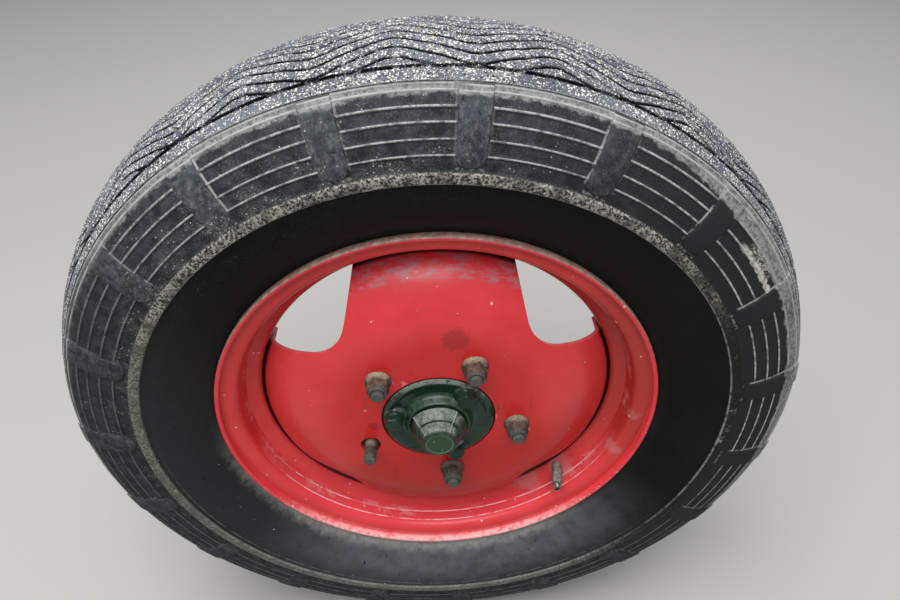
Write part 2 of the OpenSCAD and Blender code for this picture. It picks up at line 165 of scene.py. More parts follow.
def apply_modifier(piece, kind, **settings):
    """Adds a modifier, sets it and applies it."""
    take(piece)
    modifier = piece.modifiers.new(kind.lower(), kind)
    for key, value in settings.items():
        setattr(modifier, key, value)
    bpy.ops.object.modifier_apply(modifier=modifier.name)
    return piece


def weld(piece, within, outwards=True):
    """Merges points within a distance in millimetres, and can turn all faces outwards."""
    take(piece)
    bpy.ops.object.mode_set(mode="EDIT")
    bpy.ops.mesh.select_all(action="SELECT")
    bpy.ops.mesh.remove_doubles(threshold=within * MM)
    if outwards:
        bpy.ops.mesh.normals_make_consistent(inside=False)
    bpy.ops.object.mode_set(mode="OBJECT")


def finish_shape(piece, angle=35):
    """Smooth shading that keeps edges sharper than the angle."""
    take(piece)
    bpy.ops.object.shade_smooth_by_angle(angle=math.radians(angle))


def triangles(piece):
    """Number of triangles in a piece."""
    return sum(len(face.vertices) - 2 for face in piece.data.polygons)


print("a piece can be picked, welded, modified, shaded smooth and counted")

# %% [markdown]
# Turned pieces: profiles
#
# Tyre, rim, disc, hub cap, studs, nuts and valve are bodies of revolution or joined from such bodies.
# Their profiles are short tables of radius, depth behind the rim's outer lip and rounding, in
# millimetres. Rounding a corner in the profile gives it its own radius, which one bevel couldn't.

# %% Round a profile's corners
def rounded(corners, steps=5):
    """Rows of (radius, depth, rounding) as a path whose corners are rounded by short arcs."""
    path = []
    for i, (r, d, fillet) in enumerate(corners):
        here = Vector((r, d))
        if fillet == 0 or i in (0, len(corners) - 1):
            path.append(here)
            continue
        back = (Vector(corners[i - 1][:2]) - here)
        ahead = (Vector(corners[i + 1][:2]) - here)
        half = back.angle(ahead) / 2
        reach = min(fillet / math.tan(half), back.length * 0.49, ahead.length * 0.49)
        start = here + back.normalized() * reach
        end = here + ahead.normalized() * reach
        for k in range(steps + 1):
            t = k / steps
            path.append(start * (1 - t) ** 2 + here * 2 * t * (1 - t) + end * t ** 2)
    return path


test_path = rounded([(220, 0, 0), (220, 12, 7), (203, 12, 0)])
print("a rounded corner of three rows gives", len(test_path), "points")

# %% [markdown]
# Turned pieces: rings
#
# A ring could be spun from its profile, or grown from a circle: a circle of edges is extruded along the
# wheel's axis and scaled, once for every point of the profile. Growing it keeps the loops in order and
# gives clean quads.

# %% Grow a ring from a circle
WHEEL = Matrix.Translation((0, LIP_Y, AXIS_Z))


def on_wheel(angle, r, depth=0):
    """A place on the wheel: angle in degrees from the right upwards, radius and depth."""
    return (WHEEL @ Matrix.Rotation(math.radians(-angle), 4, "Y")
            @ Matrix.Translation((r * MM, depth * MM, 0)))


def turned(name, path, around=192, closed=True, place=WHEEL):
    """Grows a ring of revolution along a path of (radius, depth) in millimetres, and puts it in place."""
    deselect()
    points = [Vector(p) for p in path]
    bpy.ops.mesh.primitive_circle_add(vertices=around, radius=points[0][0] * MM,
                                      location=(0, points[0][1] * MM, 0), rotation=(math.radians(90), 0, 0))
    piece = bpy.context.active_object
    piece.name = name
    bpy.ops.object.transform_apply(location=True, rotation=True, scale=True)
    bpy.ops.object.mode_set(mode="EDIT")
    bpy.ops.mesh.select_mode(type="VERT")
    bpy.ops.mesh.select_all(action="SELECT")
    rest = points[1:] + ([points[0]] if closed else [])
    for before, after in zip(points, rest):
        bpy.ops.mesh.extrude_region_move(
            TRANSFORM_OT_translate={"value": (0, (after[1] - before[1]) * MM, 0)})
        bpy.ops.transform.resize(value=(after[0] / before[0], 1, after[0] / before[0]),
                                 center_override=(0, 0, 0))
    weld(piece, 0.005)
    piece.matrix_world = place
    bpy.ops.object.transform_apply(location=True, rotation=True, scale=True)
    return piece


print("right end of a 440 mm wide rim at x =", round(on_wheel(0, 220).translation.x, 3))

# %% [markdown]
# Tyre: profile
#
# The tyre is an old bias-ply front tyre: round sidewalls, a raised scuff ring, shoulders with short
# cross bars, and a tread of wavy ribs. One profile carries them all. Sidewall and shoulder are smooth
# curves through a few measured points.

# %% Draw sidewall and shoulder
def smooth_path(points, step):
    """A smooth curve through points, cut into short steps of even length."""
    points = [Vector(p) for p in points]
    ends = [points[0] * 2 - points[1]] + points + [points[-1] * 2 - points[-2]]
    path = [points[0]]
    for a, b, c, d in zip(ends, ends[1:], ends[2:], ends[3:]):
        count = max(1, round((c - b).length / step))
        for k in range(1, count + 1):
            t = k / count
            path.append(0.5 * (2 * b + (c - a) * t + (2 * a - 5 * b + 4 * c - d) * t * t
                               + (3 * b - a - 3 * c + d) * t ** 3))
    return path


crown_r = 368.9
crease = (352.5, -1.0)
rim_middle = 65
shoulder_points = [(281, -20.8), (291.5, -20.9), (305, -20.3), (317, -18.5), (328, -15.3), (338, -11.3),
                   (345.3, -6.9), crease]
sidewall_points = [(218.6, 9.4), (222, 7.2), (227.7, 3.5), (235.5, -3.9), (246, -11.3), (257.6, -16.6),
                   (269.8, -19.9), (281, -20.8)]
shoulder_skin = smooth_path(shoulder_points, 2.5)
sidewall_skin = smooth_path(sidewall_points, 3)
print("shoulder:", len(shoulder_skin), "points, sidewall:", len(sidewall_skin), "points")

# %% [markdown]
# Tyre: distance along the skin
#
# Bars, lines and ribs are laid out flat and then wrapped round the tyre, as a moulder lays out the
# pattern of a mould. For that the profile is measured as a distance along the skin from the scuff
# ring's inner edge, over the shoulder and the round crown to the far side.

# %% Measure along the skin
half_width = rim_middle - crease[1]
crown_arc_r = (half_width ** 2 + (crown_r - crease[0]) ** 2) / 2 / (crown_r - crease[0])
crown_arc_end = math.asin(half_width / crown_arc_r)
shoulder_reach = [0.0]
for before, after in zip(shoulder_skin, shoulder_skin[1:]):
    shoulder_reach.append(shoulder_reach[-1] + (after - before).length)
CREASE_S = shoulder_reach[-1]
MIDDLE_S = CREASE_S + crown_arc_r * crown_arc_end


def skin(s):
    """Point and outward direction on the skin, as (radius, depth), at a distance from the scuff ring."""
    if s > MIDDLE_S:
        point, out = skin(2 * MIDDLE_S - s)
        return Vector((point[0], 2 * rim_middle - point[1])), Vector((out[0], -out[1]))
    if s >= CREASE_S:
        angle = (s - MIDDLE_S) / crown_arc_r
        out = Vector((math.cos(angle), math.sin(angle)))
        return Vector((crown_r - crown_arc_r, rim_middle)) + out * crown_arc_r, out
    i = 0
    while i < len(shoulder_reach) - 2 and shoulder_reach[i + 1] < s:
        i += 1
    t = (s - shoulder_reach[i]) / (shoulder_reach[i + 1] - shoulder_reach[i])
    here, ahead = shoulder_skin[i], shoulder_skin[i + 1]
    before = shoulder_skin[max(i - 1, 0)]
    beyond = shoulder_skin[min(i + 2, len(shoulder_skin) - 1)]
    slope = ((ahead - before) * (1 - t) + (beyond - here) * t).normalized()
    return here + (ahead - here) * t, Vector((slope[1], -slope[0]))


print("crease at", round(CREASE_S, 1), "mm, crown at", round(MIDDLE_S, 1), "mm along the skin")

# %% [markdown]
# Tyre: rows of the carcass
#
# The carcass carries the forms that run all the way round: bead, sidewall, scuff ring, shoulder, the
# plain rib at the tread's edge and the floor of the tread's grooves. Each form is a few rows of the
# profile. The ridges and steps are given as a distance along the skin and a height above it.

# %% Lay out the near side's rows
LINES = (23.5, 35.5, 47.5, 58.5, 69.5)


def at_height(s, height):
    """Point (radius, depth) at a height above the skin."""
    point, out = skin(s)
    return point + out * height


bead = [Vector(p) for p in ((203.4, 36), (203.2, 20), (203.6, 13.4), (206, 12.3), (212, 12.3), (216, 11.7),
                            (218.4, 10.3), (219.6, 9.0), (220.7, 8.1))]
scuff_ring = [Vector(p) for p in ((281.3, -21.4), (281.7, -22.7), (282.3, -23.3), (283.2, -23.44),
                                  (286.5, -23.48), (289.2, -23.44), (290.2, -23.2), (290.8, -22.6),
                                  (291.5, -21.6), (292.5, -20.9))]
line_section = ((-1.1, 0), (-0.5, 0.45), (-0.2, 0.62), (0.2, 0.62), (0.5, 0.45), (1.1, 0))
shoulder_rows = [(reach, 0) for reach in shoulder_reach if 12.5 < reach < CREASE_S - 3.2
                 and all(abs(reach - line) > 1.5 for line in LINES)]
shoulder_rows += [(line + ds, h) for line in LINES for ds, h in line_section]
shoulder_path = [at_height(s, h) for s, h in sorted(shoulder_rows)]
crease_step = [at_height(CREASE_S + ds, h) for ds, h in (
    (-3.0, 0), (-2.5, 0.4), (-2.1, 0.5), (-1.6, 0.35), (-1.1, -0.4), (-0.8, -0.6), (-0.4, -0.5), (0.0, -0.1))]
near_half = bead + sidewall_skin[1:-1] + scuff_ring + shoulder_path + crease_step
print("rows on the near side:", len(near_half))

# %% [markdown]
# Tyre: carcass
#
# The carcass could be a torus that is squeezed into shape, but a turned profile keeps the sharp little
# steps where dust gathers. The far side is the near side mirrored, and the liner inside makes it a
# closed body with real thickness.

# %% Turn the tyre's carcass
RIB_TOP = -0.45
GROOVE = -3.2
edge_rib = (77.0, 87.8)
rib_zone = (91.6, 199.9)
far_edge = (203.4, 213.4)
CROWN_STEPS = 22
crown_path = [at_height(s, h) for s, h in (
    (edge_rib[0], -0.3), (edge_rib[0] + 0.8, RIB_TOP), (80, RIB_TOP), (83, RIB_TOP), (86, RIB_TOP),
    (edge_rib[1], RIB_TOP), (edge_rib[1] + 0.4, -0.9), (edge_rib[1] + 0.8, GROOVE), (rib_zone[0], GROOVE))]
rib_zone_width = rib_zone[1] - rib_zone[0]
crown_path += [at_height(rib_zone[0] + rib_zone_width * k / CROWN_STEPS, GROOVE)
               for k in range(1, CROWN_STEPS)]
crown_path += [at_height(s, h) for s, h in (
    (rib_zone[1], GROOVE), (far_edge[0] - 0.6, GROOVE), (far_edge[0] - 0.3, -0.9), (far_edge[0], RIB_TOP),
    (206, RIB_TOP), (209, RIB_TOP), (211.5, RIB_TOP), (far_edge[1], -0.3))]
far_half = [Vector((p[0], 2 * rim_middle - p[1])) for p in reversed(near_half)]
liner = [Vector(p) for p in ((208, 94), (224, 116), (252, 137), (286, 142), (322, 136), (343, 122),
                             (353, 92), (355, 65), (353, 38), (343, 8), (322, -6), (286, -12), (252, -7),
                             (224, 14), (208, 36))]
carcass_path = near_half + crown_path + far_half + liner
tyre = turned("tyre_carcass", carcass_path, around=288)
finish_shape(tyre, 40)
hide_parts("tyre")
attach(tyre, "wheel")
print("carcass:", len(carcass_path), "rows,", triangles(tyre), "triangles")

# %% [markdown]
# Flat patterns: wave and wrapping
#
# The worn tread has narrow ribs that wave once for each shoulder bar. Their pattern is made flat first:
# one millimetre along X is one degree round the wheel, Y is the distance along the skin and Z the
# height above it. A deform modifier could bend it round the tyre, but the skin curves both ways, so
# each point is moved to its own place instead.

# %% Lay out the wave and the wrapping
BARS = 19
PITCH = 360 / BARS
FIRST_BAR = 47.2
WAVE = 10.5
RIB_STEP = 12
PATTERN_MIDDLE = 145
LOWEST_RIB = PATTERN_MIDDLE - 5 * RIB_STEP
RIB_CUTS = (92, 199.6)


def wave(x):
    """Sideways shift of the ribs at an angle of the flat pattern: long slants with rounded crests."""
    turn = 2 * math.pi * x / PITCH
    return -WAVE * (math.cos(turn) + 0.11 * math.cos(3 * turn)) / 1.11


def wrap(piece, mirrored=False):
    """Wraps a flat pattern round the tyre."""
    deselect()
    for vertex in piece.data.vertices:
        x, s, height = vertex.co / MM
        point, out = skin(s)
        r, d = point + out * height
        if mirrored:
            d = 2 * rim_middle - d
        angle = math.radians(FIRST_BAR + x)
        vertex.co = (r * math.cos(angle) * MM, LIP_Y + d * MM, AXIS_Z + r * math.sin(angle) * MM)
    weld(piece, 0.003)


print("waves:", BARS, "from", round(wave(0), 1), "to", round(wave(PITCH / 2), 1), "mm")

# %% [markdown]
# Flat patterns: drawing, repeating and cutting
#
# An outline is drawn edge by edge, from one point to the next, as with a pen. The drawing starts with a
# small plane that is merged to one point. An array repeats one wave of the ribs, or one bar, at an even
# step. A straight cut trims the outermost ribs and closes them.

# %% Draw, repeat and cut a flat pattern
def drawn(name, outline):
    """Draws a closed outline through (x, y, z) points in millimetres, edge by edge."""
    deselect()
    points = [Vector(p) * MM for p in outline]
    bpy.ops.mesh.primitive_plane_add(size=0.001, location=points[0])
    piece = bpy.context.active_object
    piece.name = name
    bpy.ops.object.transform_apply(location=True, rotation=True, scale=True)
    bpy.ops.object.mode_set(mode="EDIT")
    bpy.ops.mesh.select_mode(type="VERT")
    bpy.ops.mesh.select_all(action="SELECT")
    bpy.ops.mesh.merge(type="CENTER")
    for before, after in zip(points, points[1:] + [points[0]]):
        bpy.ops.mesh.extrude_region_move(TRANSFORM_OT_translate={"value": after - before})
    bpy.ops.mesh.select_all(action="SELECT")
    bpy.ops.mesh.remove_doubles(threshold=0.001 * MM)
    return piece


def repeat(piece, count, step):
    """Repeats a piece by a constant step in millimetres and welds the copies."""
    return apply_modifier(piece, "ARRAY", count=count, use_relative_offset=False, use_constant_offset=True,
                          constant_offset_displace=Vector(step) * MM, use_merge_vertices=True,
                          merge_threshold=0.002 * MM)


def cut_flat(piece, place, normal):
    """Cuts off what lies behind a plane, and closes the cut."""
    take(piece)
    bpy.ops.object.mode_set(mode="EDIT")
    bpy.ops.mesh.select_all(action="SELECT")
    bpy.ops.mesh.bisect(plane_co=Vector(place) * MM, plane_no=normal, use_fill=True, clear_inner=True)
    bpy.ops.object.mode_set(mode="OBJECT")


print("one step round the wheel is", round(PITCH, 2), "degrees")

# %% [markdown]
# Tyre: wavy ribs
#
# The ribs could be cut out of the carcass by booleans, but thin waves come out cleaner when one rib is
# drawn as a section, extruded in short steps along its wave, repeated side by side and then wrapped.

# %% Make the tread's ribs
rib_section = [(-4.9, -2.9), (-4.55, -0.75), (-3.9, -0.14), (-1.9, 0), (1.9, 0), (3.9, -0.14), (4.55, -0.75),
               (4.9, -2.9)]
rib_columns = 24
wave_at = [wave(PITCH * k / rib_columns) for k in range(rib_columns + 1)]
ribs = drawn("tread_ribs", [(0, LOWEST_RIB + wave_at[0] + y, z + RIB_TOP) for y, z in rib_section])
for before, after in zip(wave_at, wave_at[1:]):
    bpy.ops.mesh.select_all(action="DESELECT")
    bpy.ops.object.mode_set(mode="OBJECT")
    front = max(v.co.x for v in ribs.data.vertices)
    for edge in ribs.data.edges:
        edge.select = all(abs(ribs.data.vertices[i].co.x - front) < 1e-6 for i in edge.vertices)
    bpy.ops.object.mode_set(mode="EDIT")
    bpy.ops.mesh.extrude_region_move(
        TRANSFORM_OT_translate={"value": (PITCH / rib_columns * MM, (after - before) * MM, 0)})
bpy.ops.object.mode_set(mode="OBJECT")
repeat(ribs, 11, (0, RIB_STEP, 0))
cut_flat(ribs, (0, RIB_CUTS[0], 0), (0, 1, 0))
cut_flat(ribs, (0, RIB_CUTS[1], 0), (0, -1, 0))
repeat(ribs, BARS, (PITCH, 0, 0))
wrap(ribs)
finish_shape(ribs, 50)
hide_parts("tyre")
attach(ribs, "wheel")
print("ribs:", triangles(ribs), "triangles")

# %% [markdown]
# Choosing edges
#
# Some edges of a mesh need a bevel or a slit. By hand one would click them one after another. Here a
# small question is asked about each edge, such as whether both its ends lie on the bar's top.

# %% Select edges by a question
def select_edges(piece, wanted):
    """Selects the edges for which wanted(the ends in millimetres, the normals beside) is true."""
    deselect()
    take(piece)
    mesh = piece.data
    normals = {}
    for face in mesh.polygons:
        for key in face.edge_keys:
            normals.setdefault(key, []).append(face.normal.copy())
    bpy.ops.object.mode_set(mode="EDIT")
    bpy.ops.mesh.select_mode(type="EDGE")
    bpy.ops.mesh.select_all(action="DESELECT")
    bpy.ops.object.mode_set(mode="OBJECT")
    count = 0
    for edge in mesh.edges:
        ends = [mesh.vertices[i].co / MM for i in edge.vertices]
        if wanted(ends, normals.get(edge.key, [])):
            edge.select = True
            count += 1
    bpy.ops.object.mode_set(mode="EDIT")
    return count


print("edges can be chosen by the place of their ends and by the faces beside them")

# %% [markdown]
# Tyre: one shoulder bar
#
# Nineteen flat bars stand on each shoulder, with a rounded inner end. One bar is drawn flat, cut into
# small rows so that it can bend, raised and bevelled along its top edge. Its inner end is lower.

# %% Make one flat bar
BAR_S = (13.2, 74.8)
BAR_HALF = 11.6
BAR_HEIGHT = 1.9
BAR_SINK = 0.8
MM_A_DEGREE = 5.67
BAR_ROUND = 8.5
BAR_ROW = 4.2
LOW_END_S = 26
LOW_END_SHARE = 0.42


def bar_outline():
    """Outline of a bar with a half-round inner end."""
    round_s = BAR_S[0] + BAR_ROUND
    outline = [(-BAR_HALF, BAR_S[1], -BAR_SINK), (-BAR_HALF, round_s, -BAR_SINK)]
    for k in range(1, 12):
        angle = math.pi * k / 12
        outline.append((-BAR_HALF * math.cos(angle), round_s - BAR_ROUND * math.sin(angle), -BAR_SINK))
    return outline + [(BAR_HALF, round_s, -BAR_SINK), (BAR_HALF, BAR_S[1], -BAR_SINK)]


def flat_bar(name):
    """One raised and bevelled bar, as wide as on the tyre's skin."""
    bar = drawn(name, bar_outline())
    bpy.ops.mesh.edge_face_add()
    cuts = [((0, (BAR_S[0] + BAR_ROW + BAR_ROW * k) * MM, 0), (0, 1, 0)) for k in range(14)]
    cuts += [((x * MM, 0, 0), (1, 0, 0)) for x in (-7, -2.4, 2.4, 7)]
    for place, normal in cuts:
        bpy.ops.mesh.select_all(action="SELECT")
        bpy.ops.mesh.bisect(plane_co=place, plane_no=normal)
    bpy.ops.mesh.select_all(action="SELECT")
    bpy.ops.mesh.extrude_region_move(TRANSFORM_OT_translate={"value": (0, 0, (BAR_SINK + BAR_HEIGHT) * MM)})
    bpy.ops.mesh.select_all(action="SELECT")
    bpy.ops.mesh.normals_make_consistent(inside=False)
    select_edges(bar, lambda ends, around: all(abs(e.z - BAR_HEIGHT) < 0.01 for e in ends)
                 and len(around) == 2 and around[0].dot(around[1]) < 0.5)
    bpy.ops.mesh.bevel(offset=0.9 * MM, segments=3, affect="EDGES")
    return bar


print("a bar is", 2 * BAR_HALF, "mm wide and", round(BAR_S[1] - BAR_S[0], 1), "mm long")

# %% [markdown]
# Tyre: shoulder bars
#
# The finished bar is squeezed from millimetres into degrees, repeated and wrapped. The far side gets
# its own copy, half a step further round, as the two halves of a tyre mould are set.

# %% Set the bars round both shoulders
def shoulder_bars(name, mirrored):
    """One side's bars, wrapped round the tyre."""
    bar = flat_bar(name)
    bpy.ops.mesh.select_all(action="SELECT")
    bpy.ops.transform.resize(value=(1 / MM_A_DEGREE, 1, 1), center_override=(0, 0, 0))
    deselect()
    for vertex in bar.data.vertices:
        s = vertex.co.y / MM
        if s < LOW_END_S and vertex.co.z > 0:
            rise = max(0, (s - BAR_S[0]) / (LOW_END_S - BAR_S[0]))
            vertex.co.z *= LOW_END_SHARE + (1 - LOW_END_SHARE) * rise
    repeat(bar, BARS, (PITCH, 0, 0))
    if mirrored:
        for vertex in bar.data.vertices:
            vertex.co.x += PITCH / 2 * MM
    wrap(bar, mirrored)
    finish_shape(bar, 35)
    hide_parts("tyre")
    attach(bar, "wheel")
    return bar


near_bars = shoulder_bars("shoulder_bars", False)
far_bars = shoulder_bars("shoulder_bars_inner", True)
print("bars on each side:", BARS, "with", triangles(near_bars), "triangles a side")

# %% [markdown]
# Tyre: one grain of sand
#
# The wheel has just rolled through coarse wet sand, which sticks to the tread in thousands of grains.
# The fine grains are drawn by the material. The coarse ones are real, because they break up the ribs'
# plain faces. One grain is a small icosphere, turned, stretched and dented by chance. It lies so deep
# on rib or groove that it never stands out of the solid tyre's outline.

# %% Shape a grain
RIB_HALF = 4.4


def wave_height(x, s):
    """Height of the tread's surface at a place of the flat pattern."""
    if s < rib_zone[0] - 3 or s > far_edge[0]:
        return RIB_TOP
    if s < RIB_CUTS[0] or s > RIB_CUTS[1]:
        return GROOVE
    across = (s - LOWEST_RIB - wave(x) + RIB_STEP / 2) % RIB_STEP - RIB_STEP / 2
    return RIB_TOP if abs(across) < RIB_HALF else GROOVE


random.seed(7)
GRAINS = 7600
TREAD_HALF = 68.5
deselect()
bpy.ops.mesh.primitive_ico_sphere_add(subdivisions=1, radius=1)
grain = bpy.context.active_object
grain_points = [v.co.copy() for v in grain.data.vertices]
grain_faces = [tuple(f.vertices) for f in grain.data.polygons]
bpy.ops.object.delete()


def shaped_grain(x, s):
    """The corners of one grain at a place of the flat pattern, in metres."""
    size = 0.38 + 0.75 * random.random() ** 2.6
    height = min(wave_height(x, s) + size * 0.35, -size - 0.02)
    point, out = skin(s)
    r, d = point + out * height
    angle = math.radians(FIRST_BAR + x)
    place = Vector((r * math.cos(angle), d, r * math.sin(angle)))
    turn_angle = random.uniform(0, 6.28)
    turn_axis = Vector((random.random(), random.random(), 0.2)).normalized()
    turn = Matrix.Rotation(turn_angle, 3, turn_axis)
    stretch = Vector((random.uniform(0.75, 1.25), random.uniform(0.75, 1.25), random.uniform(0.6, 1.0)))
    corners = []
    for corner in grain_points:
        shaped = turn @ Vector((corner[i] * stretch[i] for i in range(3)))
        if shaped.length > 1:
            shaped.normalize()
        spot = place + shaped * size * random.uniform(0.8, 1)
        corners.append((spot.x * MM, LIP_Y + spot.y * MM, AXIS_Z + spot.z * MM))
    return corners


print("one grain has", len(grain_points), "corners")

# %% [markdown]
# Tyre: sand
#
# The grains lie in patches, as wet sand does: two waves round and across the tread and some chance
# decide where a grain may lie. Each keeps a number for its tone. One mesh holds them all.

# %% Scatter the grains
points, faces, tones = [], [], []
while len(faces) < GRAINS * len(grain_faces):
    x = random.uniform(0, 360)
    s = PATTERN_MIDDLE + random.uniform(-1, 1) * TREAD_HALF
    waves = math.sin(math.radians(x * 7) + s / 21) + math.sin(math.radians(x * 3) - s / 13)
    if waves + random.uniform(-1.6, 1.6) < -0.2:
        continue
    start = len(points)
    points += shaped_grain(x, s)
    faces += [tuple(start + i for i in face) for face in grain_faces]
    tones += [random.random()] * len(grain_points)
grain_mesh = bpy.data.meshes.new("sand_grains")
grain_mesh.from_pydata(points, [], faces)
grain_mesh.attributes.new("tone", "FLOAT", "POINT").data.foreach_set("value", tones)
grains = bpy.data.objects.new("sand_grains", grain_mesh)
bpy.context.scene.collection.objects.link(grains)
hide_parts("tyre")
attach(grains, "wheel")
print("grains:", GRAINS, "with", triangles(grains), "triangles")

# %% [markdown]
# Rim
#
# The rim is rolled from one strip of steel: rolled lips, bead seats and a deep well between them. It
# is turned from its tyre side, and the axis side is found by moving every point of that path inwards
# by the steel's thickness, so the bends stay as even as in a real rolled strip. Two bends of the
# outer seat show as light lines in the photograph.

# %% Turn the rim
def wall(path, thickness):
    """The closed outline of a wall: the path and, back again, the path moved to its left."""
    path = [Vector(p) for p in path]
    moved = []
    for i, here in enumerate(path):
        before, after = path[max(i - 1, 0)], path[min(i + 1, len(path) - 1)]
        along_in = (here - before).normalized() if i > 0 else (after - here).normalized()
        along_out = (after - here).normalized() if i < len(path) - 1 else along_in
        normal_in, normal_out = Vector((-along_in[1], along_in[0])), Vector((-along_out[1], along_out[0]))
        middle = (normal_in + normal_out).normalized()
        moved.append(here + middle * thickness / middle.dot(normal_in))
    return path, moved[::-1]


def rolled_edge(r_out, r_in, depth, sign):
    """A rounded lip edge between two radii; sign -1 is the outer lip and 1 the inner lip."""
    shape = ((0.0, 1.3), (0.12, 0.62), (0.36, 0.12), (0.64, 0.12), (0.88, 0.62), (1.0, 1.3))
    return [Vector((r_out + (r_in - r_out) * t, depth - sign * inset)) for t, inset in shape]


STEEL_T = 4.5
LIP_R = 220
RIM_WIDTH = 130
rim_corners = [(LIP_R, 0, 0), (LIP_R, 12, 7.4), (202.8, 12, 6.5), (201.6, 27.5, 1.5), (199.4, 36, 4),
               (184.5, 43.2, 5), (184.5, 69.4, 5.5), (200.9, 91.6, 5.5), (202.8, 118, 6.5),
               (LIP_R, 118, 7.4), (LIP_R, RIM_WIDTH, 0)]
tyre_side, axis_side = wall(rounded(rim_corners, 6), STEEL_T)
rim_outline = (rolled_edge(LIP_R - STEEL_T, LIP_R, 0, -1) + tyre_side[1:-1]
               + rolled_edge(LIP_R, LIP_R - STEEL_T, RIM_WIDTH, 1) + axis_side[1:-1])
rim = turned("rim_dressed", rim_outline, around=216)
finish_shape(rim, 40)
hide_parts("rim")
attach(rim, "wheel")
print("rim:", len(rim_outline), "rows,", triangles(rim), "triangles")

# %% [markdown]
# Disc: the windows' outline
#
# The disc is pressed from sheet, and its four windows leave four arms that reach the well. The windows
# could be cut by booleans, but those leave long thin faces that shade badly on a curved sheet. Here the
# turned sheet is slit in the middle of each window, and the two sides of each slit are drawn apart
# until they follow the window's outline. The grid then runs along the edges, so that thickness and
# bevels come out evenly.

# %% Lay out a window
WINDOW_TURN = 45.5
WINDOW_START = 136.5
WINDOW_R = 45
WINDOW_SIDE = math.radians(58)


def window_half_angle(r):
    """Half the angle of a window at a radius: first its round corner, then its straight side."""
    if r <= WINDOW_START:
        return 0.0
    middle = WINDOW_START + WINDOW_R
    foot = Vector((middle - WINDOW_R * math.sin(WINDOW_SIDE), WINDOW_R * math.cos(WINDOW_SIDE)))
    if r < foot.length:
        return math.acos((r * r + middle * middle - WINDOW_R ** 2) / (2 * r * middle))
    along = Vector((math.cos(WINDOW_SIDE), math.sin(WINDOW_SIDE)))
    half = foot.dot(along)
    t = -half + math.sqrt(half * half - foot.length_squared + r * r)
    place = foot + along * t
    return math.atan2(place[1], place[0])


print("half a window at radius 170 mm:", round(math.degrees(window_half_angle(170)), 1), "degrees")

# %% [markdown]
# Disc: the sheet
#
# The sheet is flat round the hub and rises in one round bend, which ends in a short cylinder inside the
# well. It is turned so that one of its grid lines runs through the middle of every window, and slit
# there from the window's inner end to the sheet's edge.

# %% Turn and slit the sheet
CROWN_CENTRE = Vector((105, 87.6))
CROWN_R = 86.6
crown = []
for r in (115, 124, 132, 136.5, 137.0, 138.0, 139.5, 141.5, 144, 147, 151, 156, 161, 166, 170.5, 174, 176.5):
    crown.append((r, CROWN_CENTRE[1] - math.sqrt(CROWN_R ** 2 - (r - CROWN_CENTRE[0]) ** 2)))
disc_path = [(57.5, 1), (60, 1), (68, 1), (80, 1), (92, 1), (105, 1)] + crown
disc_path += [(178.4, 42.2), (179.5, 44.6), (179.96, 47.5), (179.96, 53), (179.96, 59.5), (179.96, 66)]
disc = turned("disc_dressed", disc_path, around=240, closed=False)
deselect()
disc.data.transform(WHEEL @ Matrix.Rotation(math.radians(-(WINDOW_TURN - 45)), 4, "Y") @ WHEEL.inverted())


def polar(point):
    """Radius and angle in degrees of a point, seen from the wheel's axis."""
    x, z = point.x / MM, (point.z - AXIS_Z) / MM
    return math.hypot(x, z), math.degrees(math.atan2(z, x)) % 360


def from_window(angle):
    """Angle in degrees from the middle of the nearest window, from -45 to 45."""
    return (angle - WINDOW_TURN + 45) % 90 - 45


def on_slit(ends, _):
    """True for the edges in the middle of a window; the faces beside them don't matter."""
    for end in ends:
        r, angle = polar(end * MM)
        if r < WINDOW_START - 0.1 or abs(from_window(angle)) > 0.1:
            return False
    return True


slit_count = select_edges(disc, on_slit)
bpy.ops.mesh.edge_split(type="EDGE")
deselect()
print("sheet:", len(disc_path), "rows, slit edges:", slit_count)

# %% [markdown]
# Disc: opening the windows
#
# Every point of the sheet is turned round the axis away from the nearest window's middle. The slit's
# edges move by half the window's angle at their radius, and the move fades out towards the middle of
# each arm, so the grid stays even.

# %% Open the windows
sides = {}
for face in disc.data.polygons:
    for i in face.vertices:
        sides[i] = math.copysign(1, from_window(polar(face.center)[1]))
for vertex in disc.data.vertices:
    r, angle = polar(vertex.co)
    away = from_window(angle)
    half = math.degrees(window_half_angle(r))
    side = sides[vertex.index] if abs(away) < 0.1 else math.copysign(1, away)
    shift = side * half * (1 - abs(away) / 45)
    turn = Matrix.Rotation(math.radians(-shift), 4, "Y")
    vertex.co = WHEEL @ turn @ WHEEL.inverted() @ vertex.co
print("windows opened, corners moved:", len(sides))

# %% [markdown]
# Disc: thickness and holes
#
# The round stud holes lie on the flat middle, where booleans do no harm. The press rounds all edges.

# %% Thicken, bore and bevel the disc
SHEET_T = 5.5
STUDS = 5
STUD_HOLE_R = 10.5


def stud_place(k):
    """The place of a stud on the wheel."""
    return on_wheel(-8 + 360 / STUDS * k, 80)


apply_modifier(disc, "SOLIDIFY", thickness=SHEET_T * MM, offset=-1, use_even_offset=True)
holes = []
for k in range(STUDS):
    deselect()
    bpy.ops.mesh.primitive_cylinder_add(vertices=48, radius=STUD_HOLE_R * MM, depth=30 * MM)
    hole = bpy.context.active_object
    hole.matrix_world = stud_place(k) @ Matrix.Rotation(math.radians(90), 4, "X")
    holes.append(hole)
for hole in holes:
    apply_modifier(disc, "BOOLEAN", object=hole, operation="DIFFERENCE", solver="EXACT")
    bpy.data.objects.remove(hole)
apply_modifier(disc, "BEVEL", width=1.1 * MM, segments=3, limit_method="ANGLE", angle_limit=math.radians(60))
finish_shape(disc, 35)
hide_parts("disc")
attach(disc, "wheel")
print("disc:", triangles(disc), "triangles")

